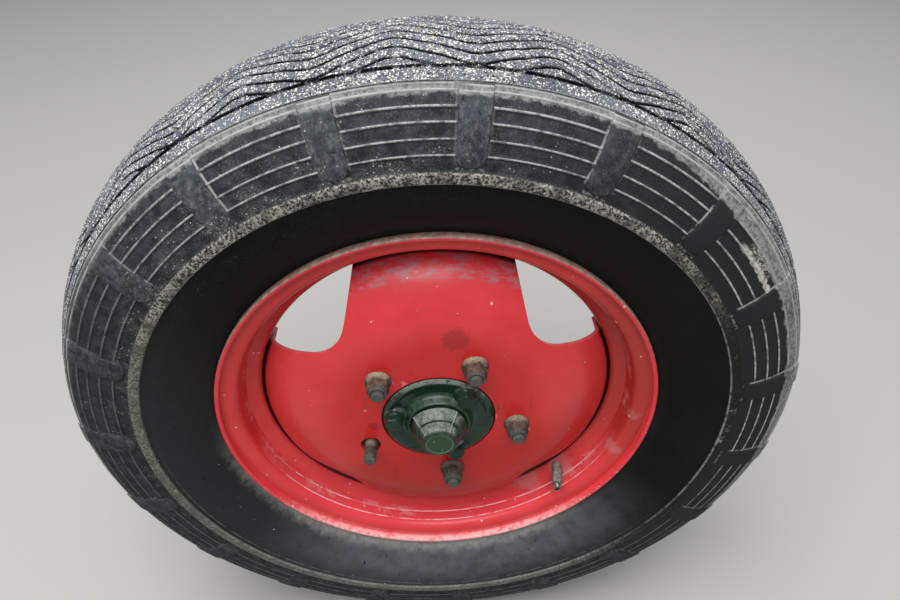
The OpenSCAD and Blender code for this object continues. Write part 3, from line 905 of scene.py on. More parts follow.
# %% [markdown]
# Joining and melting
#
# A casting or forging under thick paint is one skin without sharp edges. Its forms are modelled as
# separate bodies that run into each other. A voxel remesh melts them into one skin of small even
# faces, and a light smoothing rounds the edges as paint does.

# %% Join and melt pieces
def join(pieces, name):
    """Joins pieces into the first one."""
    deselect()
    for piece in pieces:
        piece.select_set(True)
    bpy.context.view_layer.objects.active = pieces[0]
    bpy.ops.object.join()
    pieces[0].name = name
    return pieces[0]


def melt(piece, voxel, smooth, rounds=2):
    """Remeshes a piece into one skin of even small faces and smooths it."""
    apply_modifier(piece, "REMESH", mode="VOXEL", voxel_size=voxel * MM)
    apply_modifier(piece, "SMOOTH", factor=smooth, iterations=rounds)
    take(piece)
    bpy.ops.object.shade_smooth()
    return piece


print("pieces can be joined and melted")

# %% [markdown]
# Hub cap: flange and nose
#
# A dished flange with three bolt pads carries a round neck and a nose in two tiers. All of them are
# turned.

# %% Turn the cap's flange and nose
CAP_BOLTS = 3


def cap_bolt_place(k, r):
    """The place of a cap bolt or its pad on the wheel."""
    return on_wheel(52.5 + 360 / CAP_BOLTS * k, r)


FLANGE_PATH = ((0.5, 6.3), (56.4, 6.3), (56.45, 1.6), (55.7, 0.2), (52.0, -1.9), (50.6, -1.9), (49.4, -1.2),
               (46.5, 0.7), (38, 1.2), (35.3, 0.1), (33.7, -1.6), (32.0, -7.2), (31.5, -8.4), (30.6, -9.1),
               (29.2, -9.2), (28.2, -8.4), (0.5, -8.4))
PAD_PATH = ((0.5, 5), (12.6, 5), (11.6, -2.3), (10.9, -3), (0.5, -3))
NOSE_PATH = ((0.5, 4), (26.4, 4), (26.4, -10.2), (27.4, -10.8), (28.0, -11.9), (27.6, -13.2), (22.9, -20.4),
             (22.0, -21.2), (19.4, -21.7), (18.7, -22.6), (18.9, -23.8), (19.9, -24.2), (20.3, -25.0),
             (19.9, -26.0), (17.9, -29.2), (17.9, -31.4), (17.2, -32.2), (15.3, -32.9), (14.9, -33.3),
             (14.3, -33.4), (13.7, -33.2), (13.3, -32.8), (0.5, -32.8))
cap_flange = turned("cap_flange", FLANGE_PATH, around=128)
cap_pads = [turned("cap_pad", PAD_PATH, around=48, place=cap_bolt_place(k, 43.9)) for k in range(CAP_BOLTS)]
nose_body = turned("nose_body", NOSE_PATH, around=128)
print("cap's bodies:", 2 + len(cap_pads))

# %% [markdown]
# Hub cap: keystones
#
# Two keystones stand proud of the nose, above and below. Each is a quarter of a turned ring, cut out by
# a block whose corner lies on the axis.

# %% Cut the keystones and melt the cap
KEYSTONE_TURN = 99
KEYSTONE_PATH = ((8, -6), (26, -6), (26, -11), (30.4, -13.1), (31.4, -13.6), (31.5, -14.3), (25.0, -22.3),
                 (24.2, -23.0), (22.2, -23.1), (21.4, -23.4), (21.3, -24.1), (22.2, -24.3), (22.8, -24.8),
                 (22.5, -25.4), (17.6, -30.1), (16.6, -30.4), (8, -30.4))
keystones = []
for k in range(2):
    keystone = turned("keystone", KEYSTONE_PATH, around=128)
    deselect()
    bpy.ops.mesh.primitive_cube_add(size=1, location=(0.5, 0, 0.5))
    block = bpy.context.active_object
    bpy.ops.object.transform_apply(location=True, rotation=False, scale=False)
    block.matrix_world = (WHEEL @ Matrix.Rotation(math.radians(45 - KEYSTONE_TURN - 180 * k), 4, "Y")
                          @ Matrix.Scale(80 * MM, 4))
    apply_modifier(keystone, "BOOLEAN", object=block, operation="INTERSECT", solver="EXACT")
    bpy.data.objects.remove(block)
    keystones.append(keystone)
cap_nose = melt(join([nose_body] + keystones, "cap_nose"), 0.5, 0.4, 2)
cap_flange = melt(join([cap_flange] + cap_pads, "cap_flange"), 0.9, 0.5, 2)
hub_cap = join([cap_flange, cap_nose], "hub_cap_dressed")
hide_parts("hub_cap")
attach(hub_cap, "wheel")
print("hub cap:", triangles(hub_cap), "triangles")

# %% [markdown]
# Cap bolts
#
# Three hexagon bolts hold the cap. Their heads carry so much paint that the corners are round. A
# six-sided cylinder gets a wide bevel, stands on a turned collar and shank, and is melted with them.
# Each bolt is made anew, because each was tightened to another angle.

# %% Make the cap bolts
def hexagon(name, r, depth_from, depth_to, bevel, place, twist=0):
    """A six-sided head between two depths."""
    deselect()
    bpy.ops.mesh.primitive_cylinder_add(vertices=6, radius=r * MM, depth=(depth_to - depth_from) * MM)
    piece = bpy.context.active_object
    piece.name = name
    piece.matrix_world = (place @ Matrix.Translation((0, (depth_from + depth_to) / 2 * MM, 0))
                          @ Matrix.Rotation(math.radians(90), 4, "X")
                          @ Matrix.Rotation(math.radians(twist), 4, "Z"))
    bpy.ops.object.transform_apply(location=True, rotation=True, scale=True)
    if bevel:
        apply_modifier(piece, "BEVEL", width=bevel * MM, segments=3, limit_method="ANGLE")
    return piece


COLLAR_PATH = ((0.5, -2.6), (9.9, -2.6), (10.1, -3.6), (9.7, -4.5), (8.6, -5.2), (0.5, -5.2))
SHANK_PATH = ((0.5, 20.5), (5, 20.5), (5, -4), (0.5, -4))
for k in range(CAP_BOLTS):
    place = cap_bolt_place(k, 45)
    head = hexagon("cap_bolt_head", 9.6, -13.2, -4.2, 2.2, place, 12 + 37 * k)
    collar = turned("cap_bolt_collar", COLLAR_PATH, around=40, place=place)
    shank = turned("cap_bolt_shank", SHANK_PATH, around=24, place=place)
    bolt = melt(join([head, collar, shank], f"cap_bolt_dressed_{k + 1}"), 0.6, 0.5, 2)
    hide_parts(f"cap_bolt_{k + 1}")
    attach(bolt, "wheel")
print("each bolt:", triangles(bolt), "triangles")

# %% [markdown]
# Wheel studs
#
# Five studs stand in the hub's flange. The fourth has lost its nut long ago, and so its thread shows
# in the empty hole. The thread is real: the rows of a fine turned cylinder are moved in and out along
# a helix.

# %% Shape a stud
THREAD_PITCH = 1.5
STUD_SHANK_PATH = ((0.3, 5.6), (6.5, 5.6), (6.5, 20), (9.9, 20.6), (10, 21.4), (9, 25.4), (0.3, 25.4))


def threaded(name, r, from_depth, to_depth, place, around=40):
    """A rod with a helical thread along its whole length."""
    rows = max(2, round((to_depth - from_depth) / THREAD_PITCH * 6))
    path = [(0.3, from_depth + 0.1), (r - 1.6, from_depth)]
    path += [(r, from_depth + 1.2 + (to_depth - from_depth - 1.2) * k / rows) for k in range(rows + 1)]
    path += [(0.3, to_depth)]
    rod = turned(name, path, around=around)
    for vertex in rod.data.vertices:
        local = WHEEL.inverted() @ vertex.co
        here_r, depth = math.hypot(local.x, local.z) / MM, local.y / MM
        if here_r > r - 0.2 and depth > from_depth + 0.8:
            phase = (depth / THREAD_PITCH + math.atan2(local.z, local.x) / (2 * math.pi)) % 1
            scale = (r - 0.85 * abs(2 * phase - 1) ** 0.8) / r
            local.x, local.z = local.x * scale, local.z * scale
            vertex.co = WHEEL @ local
    rod.data.transform(place @ WHEEL.inverted())
    return rod


def wheel_stud(place, name):
    """A stud with its thread and its plain shank."""
    thread = threaded("wheel_stud", 6.5, -22, 6, place)
    shank = turned("stud_shank", STUD_SHANK_PATH, around=40, place=place)
    stud = join([thread, shank], name)
    finish_shape(stud, 35)
    return stud


print("thread pitch", THREAD_PITCH, "mm")

# %% [markdown]
# Wheel nuts
#
# The nuts are old and pitted: flange, tapered hexagon and collar are melted together and roughened by
# a displacement that differs from nut to nut.

# %% Shape a nut
SKIRT_PATH = ((6.6, 4.4), (8.6, 4.4), (10.2, 1.0), (13.1, 1.0), (13.15, 0.2), (12.4, -2.4), (11.3, -3.6),
              (6.6, -4.4))
TAPER_PATH = ((6.6, 3), (13.8, 3), (12.7, -3), (10.3, -13.4), (9.2, -15.1), (6.6, -15.1))
NUT_COLLAR_PATH = ((6.75, -13), (9.0, -13), (9.05, -15.2), (8.8, -17.4), (8.1, -18.4), (6.75, -18.5))


def roughen(piece, size, depth, seed):
    """Pits a surface with a cloudy displacement."""
    texture = bpy.data.textures.new(f"pits_{seed}", "CLOUDS")
    texture.noise_scale = size * MM
    texture.noise_depth = 3
    piece.data.transform(Matrix.Translation((seed * 0.031, 0, 0)))
    apply_modifier(piece, "DISPLACE", texture=texture, texture_coords="LOCAL", strength=depth * MM,
                   mid_level=0.6)
    piece.data.transform(Matrix.Translation((-seed * 0.031, 0, 0)))


def tapered_hexagon(place, twist):
    """The nut's hexagon, cut to a taper."""
    body = hexagon("nut_body", 11.6, -15, -1, 0, place, twist)
    deselect()
    taper = turned("nut_taper", TAPER_PATH, around=64, place=place)
    apply_modifier(body, "BOOLEAN", object=taper, operation="INTERSECT", solver="EXACT")
    bpy.data.objects.remove(taper)
    return body


def wheel_nut(place, twist, name):
    """A nut with its flange and collar, melted into one skin."""
    skirt = turned("nut_skirt", SKIRT_PATH, around=64, place=place)
    body = tapered_hexagon(place, twist)
    collar = turned("nut_collar", NUT_COLLAR_PATH, around=48, place=place)
    return melt(join([skirt, body, collar], name), 0.6, 0.5, 2)


print("nuts can be shaped")

# %% [markdown]
# Studs and nuts in place
#
# Each nut was tightened to another angle, and each gets its own pits.

# %% Set studs and nuts
BARE_STUD = 3
nut_number = 0
for k in range(STUDS):
    place = stud_place(k)
    stud = wheel_stud(place, f"wheel_stud_dressed_{k + 1}")
    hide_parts(f"wheel_stud_{k + 1}")
    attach(stud, "wheel")
    if k == BARE_STUD:
        continue
    nut_number += 1
    nut = wheel_nut(place, 30 + 11 * k, f"wheel_nut_dressed_{nut_number}")
    roughen(nut, 2.2, 0.35, nut_number)
    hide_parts(f"wheel_nut_{nut_number}")
    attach(nut, "wheel")
print("nuts:", nut_number, "each", triangles(nut), "triangles; a stud", triangles(stud))

# %% [markdown]
# Valve stem
#
# The valve of the inner tube comes through the well at a slant. A rubber cover runs up most of it and
# its threaded brass end is open, because the cap is missing. It is turned in two parts, cover and end.

# %% Make the valve stem
valve_place = on_wheel(-43, 187.4, 36.5) @ Matrix.Rotation(math.radians(-12), 4, "Z")
valve_foot = turned("valve_foot", [(0.3, 12), (5.5, 12), (5.5, -6), (5.45, -16), (5.35, -24), (5.2, -28.4),
                                   (4.7, -29.6), (3.9, -29.95), (0.3, -29.95)],
                    around=48, place=valve_place)
crests = [(3.95 - 0.5 * (k % 2), -32.0 - 0.4 * k) for k in range(11)]
end_path = [(0.3, -28), (3.5, -28), (3.5, -30.4), (3.75, -30.8), (3.5, -31.2), (3.5, -31.6)] + crests
end_path += [(3.5, -36.4), (3.8, -37.2), (3.5, -37.85), (2.7, -37.95), (2.3, -37.6), (2.2, -34.5),
             (0.9, -34.3), (0.85, -36.8), (0.3, -37.0)]
valve_end = turned("valve_end", end_path, around=40, place=valve_place)
valve = join([valve_foot, valve_end], "valve_stem_dressed")
finish_shape(valve, 40)
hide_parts("valve_stem")
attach(valve, "wheel")
print("valve:", triangles(valve), "triangles")

# %% [markdown]
# Hub, stub axle and king pin
#
# The pieces behind the disc have the right forms already in their solids, so each is dressed in a
# welded copy of its own mesh. Hub and stub axle are a casting and a forging with soft corners, so their
# copies are remeshed and smoothed. The pins, the washer and the grease seal are machined, so their
# copies only get small bevels.

# %% Dress hub, stub axle and pins
def copy_of(node, name):
    """A welded copy of a solid's mesh."""
    deselect()
    source = bpy.data.objects[node]
    piece = bpy.data.objects.new(name, source.data.copy())
    piece.matrix_world = source.matrix_world
    bpy.context.scene.collection.objects.link(piece)
    take(piece)
    bpy.ops.object.transform_apply(location=True, rotation=True, scale=True)
    weld(piece, 0.01, outwards=False)
    return piece


for node, body, slot, voxel in (("hub", "wheel", "green_paint", 2.0),
                                ("stub_axle", "knuckle", "green_paint", 1.7)):
    casting = melt(copy_of(node, f"{node}_dressed"), voxel, 0.5, 3)
    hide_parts(node)
    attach(casting, body)
    print(node, triangles(casting), "triangles")

for node, body, slot in (("king_pin", "knuckle", "bare_steel"), ("lock_pin", "knuckle", "bare_steel"),
                         ("thrust_washer", "knuckle", "bare_steel"), ("grease_seal", "wheel", "seal_steel")):
    machined = copy_of(node, f"{node}_dressed")
    apply_modifier(machined, "BEVEL", width=0.4 * MM, segments=2, limit_method="ANGLE",
                   angle_limit=math.radians(40))
    finish_shape(machined, 30)
    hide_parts(node)
    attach(machined, body)
    print(node, triangles(machined), "triangles")

# %% [markdown]
# Materials: the tools
#
# Every finish is drawn by nodes, because paint, rust and dust have to follow the real places: dust lies
# where a face looks up, wear sits on edges, grit sticks to the tread. Nodes could be placed by hand in
# the shader editor. Here a small class adds and links them, so that a finish reads as a list of steps.
# Object coordinates are in metres, and the steps below work in millimetres.

# %% Make a class that adds and links nodes
def fill(tree, socket, value):
    """Links another node's socket, or sets a plain number, vector or colour."""
    if isinstance(value, bpy.types.NodeSocket):
        tree.links.new(value, socket)
    else:
        socket.default_value = (*value, 1) if socket.type == "RGBA" else value


class Net:
    """A node tree, written as a list of steps that each give a socket."""

    def __init__(self, tree):
        self.tree = tree

    def add(self, kind, inputs=(), **settings):
        """Adds a node, sets its options and fills its inputs by name or number."""
        node = self.tree.nodes.new(kind)
        for key, value in settings.items():
            setattr(node, key, value)
        for key, value in dict(inputs).items():
            fill(self.tree, node.inputs[key], value)
        return node

    def math(self, operation, a, b=0.0, c=0.0):
        """One step of arithmetic."""
        return self.add("ShaderNodeMath", {0: a, 1: b, 2: c}, operation=operation).outputs[0]

    def times(self, *values):
        """The product of masks and numbers."""
        product = values[0]
        for value in values[1:]:
            product = self.math("MULTIPLY", product, value)
        return product

    def most(self, *values):
        """The greatest of some masks."""
        result = values[0]
        for value in values[1:]:
            result = self.math("MAXIMUM", result, value)
        return result

    def use(self, group, **inputs):
        """Places a group of nodes and gives its outputs."""
        return self.add("ShaderNodeGroup", inputs, node_tree=group).outputs


print("steps:", ", ".join(name for name in vars(Net) if not name.startswith("_")))

# %% [markdown]
# Materials: masks
#
# A mask is a number from 0 to 1 at each point: nothing, a part or all of a layer. These steps make masks
# and lay tones over one another through them.

# %% Add masks to the steps
class MaskNet(Net):
    """A node tree that can also make masks and lay tones through them."""

    def ramp(self, value, low, high):
        """A straight slope from nothing to one between two limits."""
        limits = {"Value": value, "From Min": low, "From Max": high}
        return self.add("ShaderNodeMapRange", limits).outputs["Result"]

    def rise(self, value, low, high, to_low=0.0, to_high=1.0):
        """A soft step from one value to another between two limits; the limits may fall."""
        return self.add("ShaderNodeMapRange", {"Value": value, "From Min": low, "From Max": high,
                                               "To Min": to_low, "To Max": to_high},
                        interpolation_type="SMOOTHSTEP").outputs["Result"]

    def band(self, value, centre, half, soft):
        """One inside a band round a centre, falling softly to nothing outside it."""
        away = self.math("ABSOLUTE", self.math("SUBTRACT", value, centre))
        return self.rise(away, half + soft, half)

    def toward(self, angle, centre, low, high, to_low=0.0, to_high=1.0):
        """One on the side of the wheel round an angle in degrees, by the cosine of the angle between."""
        turn = self.math("MULTIPLY_ADD", angle, math.pi / 180, -math.radians(centre))
        return self.rise(self.math("COSINE", turn), low, high, to_low, to_high)

    def blend(self, factor, a, b):
        """A colour between two."""
        return self.add("ShaderNodeMix", {0: factor, 6: a, 7: b}, data_type="RGBA").outputs[2]

    def lay(self, colour, tone, *masks):
        """Lays a tone over a colour, as strongly as all its masks and numbers say together."""
        return self.blend(self.times(*masks), colour, tone)


print("masks:", ", ".join(name for name in vars(MaskNet) if not name.startswith("_")))

# %% [markdown]
# Materials: patterns
#
# Dirt is never even. Noise breaks up the masks, and random cells scatter grains and specks. Their sizes
# are given in millimetres, as one would measure a blotch on the real wheel. A function starts a new
# group of nodes with named sockets.

# %% Add patterns to the steps
VALUE, VECTOR, COLOUR = "NodeSocketFloat", "NodeSocketVector", "NodeSocketColor"


class PatternNet(MaskNet):
    """A node tree that can also draw patterns and finish a group."""

    def scale(self, size):
        """The scale of a pattern of a size in millimetres."""
        return self.math("DIVIDE", 1.0, size) if isinstance(size, bpy.types.NodeSocket) else 1 / size

    def noise(self, place, size, detail=3.0, rough=0.55, distortion=0.0):
        """Cloudy noise of a size in millimetres."""
        return self.add("ShaderNodeTexNoise", {"Vector": place, "Scale": self.scale(size), "Detail": detail,
                                               "Roughness": rough, "Distortion": distortion}).outputs["Fac"]

    def cells(self, place, size):
        """Random cells of a size in millimetres: the distance from each cell's middle, and three chances."""
        found = self.add("ShaderNodeTexVoronoi", {"Vector": place, "Scale": self.scale(size)}).outputs
        return found["Distance"], self.add("ShaderNodeSeparateColor", {0: found["Color"]}).outputs

    def stretch(self, place, factors, turn=(0, 0, 0)):
        """A place scaled by factors, so that a pattern grows longer along one way."""
        return self.add("ShaderNodeMapping", {"Vector": place, "Scale": factors, "Rotation": turn}).outputs[0]

    def give(self, result, **outputs):
        """Links a group's outputs and gives the finished group."""
        for key, socket in outputs.items():
            self.tree.links.new(socket, result[key])
        return self.tree


def effect(name, outputs, takes_place=True, **values):
    """Starts a group of nodes: its inputs are a place and named values, its outputs names with kinds."""
    tree = bpy.data.node_groups.new(name, "ShaderNodeTree")
    if takes_place:
        tree.interface.new_socket("place", in_out="INPUT", socket_type=VECTOR)
    for key, value in values.items():
        tree.interface.new_socket(key, in_out="INPUT", socket_type=VALUE).default_value = value
    for key, kind in outputs.items():
        tree.interface.new_socket(key, in_out="OUTPUT", socket_type=kind)
    net = PatternNet(tree)
    return net, net.add("NodeGroupInput").outputs, net.add("NodeGroupOutput").inputs


print("patterns and groups ready")

# %% [markdown]
# Materials: the place on the wheel
#
# The first shared effect tells where a point lies, as radius, angle and depth, so that a band of dust can
# be put on the rim's lip or a ring of dirt round the tyre. The same could be painted by hand into an
# attribute, but a measured place stays exact when a mesh is made anew.

# %% Measure the place on the wheel
net, given, result = effect("wheel_place", {"place": VECTOR, "radius": VALUE, "angle": VALUE, "depth": VALUE},
                            takes_place=False)
coordinates = net.add("ShaderNodeTexCoord").outputs["Object"]
hub_middle = {0: coordinates, 1: (0, LIP_Y, AXIS_Z)}
moved = net.add("ShaderNodeVectorMath", hub_middle, operation="SUBTRACT").outputs[0]
in_mm = net.add("ShaderNodeVectorMath", {0: moved, "Scale": 1 / MM}, operation="SCALE").outputs[0]
x, y, z = net.add("ShaderNodeSeparateXYZ", {0: in_mm}).outputs
wheel_place = net.give(result, place=in_mm, depth=y,
                       radius=net.math("SQRT", net.math("ADD", net.times(x, x), net.times(z, z))),
                       angle=net.times(net.math("ARCTAN2", z, x), 180 / math.pi))


def place_on_wheel(net):
    """The place on the wheel in millimetres, and its radius, angle and depth."""
    where = net.use(wheel_place)
    return where["place"], where["radius"], where["angle"], where["depth"]


print("axis at", round(LIP_Y, 4), round(AXIS_Z, 4), "is the place's zero")

# %% [markdown]
# Materials: dust, wear and clouds
#
# Three effects serve nearly every finish. Dust settles in patches where a face looks up. Wear sits where
# the mesh is pointed, and painted shade where it is hollow. Clouds make two tones of one paint.

# %% Build dust, wear and clouds
net, given, result = effect("settled_dust", {"mask": VALUE, "facing_up": VALUE}, amount=0.5, size=12)
normal = net.add("ShaderNodeTexCoord").outputs["Normal"]
facing_up = net.rise(net.add("ShaderNodeSeparateXYZ", {0: normal}).outputs[2], 0.0, 0.95)
patches = net.rise(net.noise(given["place"], given["size"], 5.0, 0.62), 0.36, 0.66, 0.25, 1.0)
settled_dust = net.give(result, mask=net.times(facing_up, patches, given["amount"]), facing_up=facing_up)

net, given, result = effect("edge_wear_and_hollow_shade", {"edge": VALUE, "hollow": VALUE}, start=0.52, end=0.58, size=6)
pointed = net.add("ShaderNodeNewGeometry").outputs["Pointiness"]
ragged = net.rise(net.noise(given["place"], given["size"], 4.0, 0.6), 0.4, 0.6)
sharp = net.ramp(pointed, given["start"], given["end"])
edge_wear_and_hollow_shade = net.give(result, edge=net.times(sharp, ragged), hollow=net.ramp(pointed, 0.49, 0.44))

net, given, result = effect("clouds", {"mask": VALUE}, size=30, low=0.4, high=0.6)
cloud = net.noise(given["place"], given["size"], 6.0, 0.6, 0.4)
clouds = net.give(result, mask=net.ramp(cloud, given["low"], given["high"]))


def cloudy(net, place, size, low, high):
    """Clouds of a size in millimetres, as a mask between two limits of the noise."""
    return net.use(clouds, place=place, size=size, low=low, high=high)["mask"]


print("shared effects:", len(bpy.data.node_groups))

# %% [markdown]
# Materials: grit and specks
#
# Fine sand and stone chips are too many to model. Random cells place them: a cell whose chance is low
# enough keeps its grain, and a second chance picks its tone or size. Specks are few, flat and small.

# %% Build grit and specks
GRIT_TONES = ((0.0, (0.74, 0.72, 0.66)), (0.34, (0.56, 0.52, 0.45)), (0.52, (0.36, 0.30, 0.22)),
              (0.66, (0.19, 0.19, 0.20)), (0.82, (0.035, 0.036, 0.042)))


def grit_tones(net, value):
    """The colours of wet sand, from white to nearly black, for a value from 0 to 1."""
    ramp = net.add("ShaderNodeValToRGB", {"Fac": value})
    ramp.color_ramp.interpolation = "CONSTANT"
    for k, (at, tone) in enumerate(GRIT_TONES):
        stop = ramp.color_ramp.elements[k] if k < 2 else ramp.color_ramp.elements.new(at)
        stop.position = at
        stop.color = (*tone, 1)
    return ramp.outputs["Color"]


net, given, result = effect("grit", {"mask": VALUE, "colour": COLOUR, "height": VALUE}, size=1.6, cover=0.5)
from_middle, chance = net.cells(given["place"], given["size"])
kept = net.math("LESS_THAN", chance[0], given["cover"])
grit = net.give(result, mask=net.times(kept, net.rise(from_middle, 0.52, 0.30)),
                colour=grit_tones(net, chance[1]), height=net.times(kept, net.rise(from_middle, 0.6, 0.0)))

net, given, result = effect("specks", {"mask": VALUE}, size=9, share=0.3)
from_middle, chance = net.cells(given["place"], given["size"])
dot = net.math("LESS_THAN", from_middle, net.math("MULTIPLY_ADD", chance[1], 0.09, 0.02))
specks = net.give(result, mask=net.times(dot, net.math("LESS_THAN", chance[0], given["share"])))
print("shared effects:", len(bpy.data.node_groups))

# %% [markdown]
# Materials: from steps to a finish
#
# A finish is a material whose colour, roughness and height come from the steps. What is the same all
# over, such as the strength of the reflections, is set on the shader itself.

# %% Start and close a finish
def finish_named(name):
    """A new material with its tree and its shader."""
    material = bpy.data.materials.new(name)
    material.use_nodes = True
    return material, PatternNet(material.node_tree), material.node_tree.nodes["Principled BSDF"]


def connect(net, shader, colour, roughness, height=None, distance=0.3):
    """Feeds colour and roughness, and a height as bump with its distance in millimetres, into the shader."""
    fill(net.tree, shader.inputs["Base Color"], colour)
    fill(net.tree, shader.inputs["Roughness"], roughness)
    if height is not None:
        bump = net.add("ShaderNodeBump", {"Height": height, "Distance": distance * MM, "Strength": 1.0})
        net.tree.links.new(bump.outputs[0], shader.inputs["Normal"])


def set_gloss(shader, **levels):
    """Sets the shader's own sockets, named with _ for a space."""
    for key, level in levels.items():
        shader.inputs[key.replace("_", " ")].default_value = level


def dress(piece, material):
    """Gives a piece one material all over."""
    piece.data.materials.clear()
    piece.data.materials.append(material)


print("finishes can be started")

# %% [markdown]
# Rubber: where things lie
#
# Old rubber is not one black. Its colours follow the tyre's own zones. They could be separate materials
# on selected faces, but then every border would be a hard line. Here one material knows the radius, the
# angle and the height above the skin, and each zone is a mask with a soft or ragged border.

# %% Measure the rubber's zones
SHOULDER_LINE_R = [round(skin(line)[0][0], 2) for line in LINES]
RING_R = (281.2, 291.6)
CREASE_R = crease[0]
BAR_HALF_DEGREES = BAR_HALF / MM_A_DEGREE
BAR_END_R = skin(BAR_S[0])[0][0]
# The side of the wheel that lies in shade; shoulder and rim are painted darker there.
SHADED_SIDE = 12


def bar_places(net, angle):
    """Angle from the middle of the nearest bar, signed and unsigned."""
    from_first = net.math("ADD", net.math("SUBTRACT", angle, FIRST_BAR), 720 + PITCH / 2)
    signed = net.math("SUBTRACT", net.math("MODULO", from_first, PITCH), PITCH / 2)
    return signed, net.math("ABSOLUTE", signed)


def height_above_skin(net, radius, side):
    """Height in millimetres above the tread's arc, from the radius and the distance from the middle."""
    from_centre = net.math("SUBTRACT", radius, crown_r - crown_arc_r)
    squares = net.math("ADD", net.times(from_centre, from_centre), net.times(side, side))
    return net.math("SUBTRACT", net.math("SQRT", squares), crown_arc_r)


print("lines on the shoulder at radius", SHOULDER_LINE_R)

# %% [markdown]
# Rubber: sidewall and scuff ring
#
# Above the hub the sidewall is nearly black and bare. Below it carries a bluish haze with small dark cuts:
# partly dust and partly a painted sheen where the sidewall faces the sky. Beside the rim lies dried mud,
# thick and light at the bottom. The scuff ring has been rubbed along kerbs: at the top its pits are full of
# pale grit, below it is worn to an even grey, and on the right it is bare but for a few patches.

# %% Colour the sidewall and the ring
def sidewall_colour(net, place, radius, angle, big, fine):
    """Bare black above, bluish haze with a painted sky sheen below, and dried mud beside the rim."""
    colour = net.blend(big, (0.0025, 0.0025, 0.0023), (0.0048, 0.0048, 0.0044))
    colour = net.lay(colour, (0.019, 0.020, 0.022), net.toward(angle, 215, 0.1, 0.8))
    # Partly dust and partly painted sheen: a bluish grey where the lower sidewall faces the sky.
    haze_and_sheen = net.times(net.toward(angle, -84, 0.45, 0.98), net.rise(radius, 284, 244, 0.35, 1.0),
                     net.rise(net.noise(place, 20, 4, 0.6), 0.25, 0.65, 0.5, 1.0))
    colour = net.lay(colour, (0.088, 0.092, 0.100), haze_and_sheen)
    powder = net.times(net.rise(fine, 0.56, 0.72), net.rise(radius, 240, 281, 0.25, 1.0),
                       net.rise(net.noise(place, 11, 4), 0.44, 0.60), net.toward(angle, 165, -0.3, 0.6), 0.8)
    colour = net.lay(colour, (0.095, 0.093, 0.086), powder)
    cuts = net.rise(net.noise(net.stretch(place, (1, 1, 0.3), (0, 0.5, 0)), 3.2, 2, 0.5), 0.69, 0.75)
    colour = net.lay(colour, (0.004, 0.004, 0.005), cuts, net.toward(angle, -110, 0.2, 0.7))
    flecks = net.use(specks, place=place, size=10, share=0.4)["mask"]
    colour = net.lay(colour, (0.42, 0.41, 0.38), flecks, net.toward(angle, 220, 0.6, 0.9), 0.8)
    groove = net.times(net.band(radius, 276.6, 0.3, 0.5), net.toward(angle, -105, 0.2, 0.8),
                       net.rise(net.noise(place, 10, 3), 0.36, 0.56))
    colour = net.lay(colour, (0.20, 0.20, 0.18), groove, 0.6)
    low_down = net.toward(angle, -108, 0.25, 0.75)
    wide = net.math("MULTIPLY_ADD", net.toward(angle, -95, 0.6, 0.95), -4.0, radius)
    ragged = net.math("MULTIPLY_ADD", net.noise(place, 8, 5, 0.65), 14.0, wide)
    mud = net.times(net.rise(ragged, 241, 227), net.rise(net.noise(place, 3, 4, 0.7), 0.30, 0.55, 0.6, 1.0))
    mud_colour = net.blend(low_down, (0.022, 0.020, 0.018), (0.29, 0.275, 0.25))
    return net.lay(colour, mud_colour, mud, net.rise(low_down, 0, 1, 0.6, 0.85))


def ring_colour(net, place, angle):
    """Pale grit in dark pits above, an even grey below, and bare rubber with patches on the right."""
    below = net.most(net.toward(angle, -110, 0.1, 0.8), net.times(net.toward(angle, -170, 0.6, 0.95), 0.8))
    right = net.toward(angle, -5, 0.5, 0.9)
    pits = net.rise(net.noise(place, 2.2, 5, 0.75), 0.43, 0.58)
    gaps = net.rise(net.noise(place, 18, 4, 0.6), 0.36, 0.56, 0.30, 1.0)
    light = net.blend(below, (0.36, 0.34, 0.29), (0.175, 0.172, 0.150))
    dark = net.blend(below, (0.020, 0.019, 0.017), (0.085, 0.083, 0.073))
    patch = net.rise(net.noise(place, 15, 3), 0.61, 0.68)
    light = net.lay(light, net.blend(patch, (0.020, 0.020, 0.018), (0.26, 0.24, 0.20)), right)
    dark = net.lay(dark, (0.010, 0.010, 0.009), right)
    return net.lay(dark, light, pits, gaps)


print("sidewall and ring ready")

# %% [markdown]
# Rubber: shoulder
#
# The shoulder is a bluish black under fine powder, with small cuts and, above the scuff ring, grit. The
# bars stand a little prouder, so they are rubbed greyer and mottled.

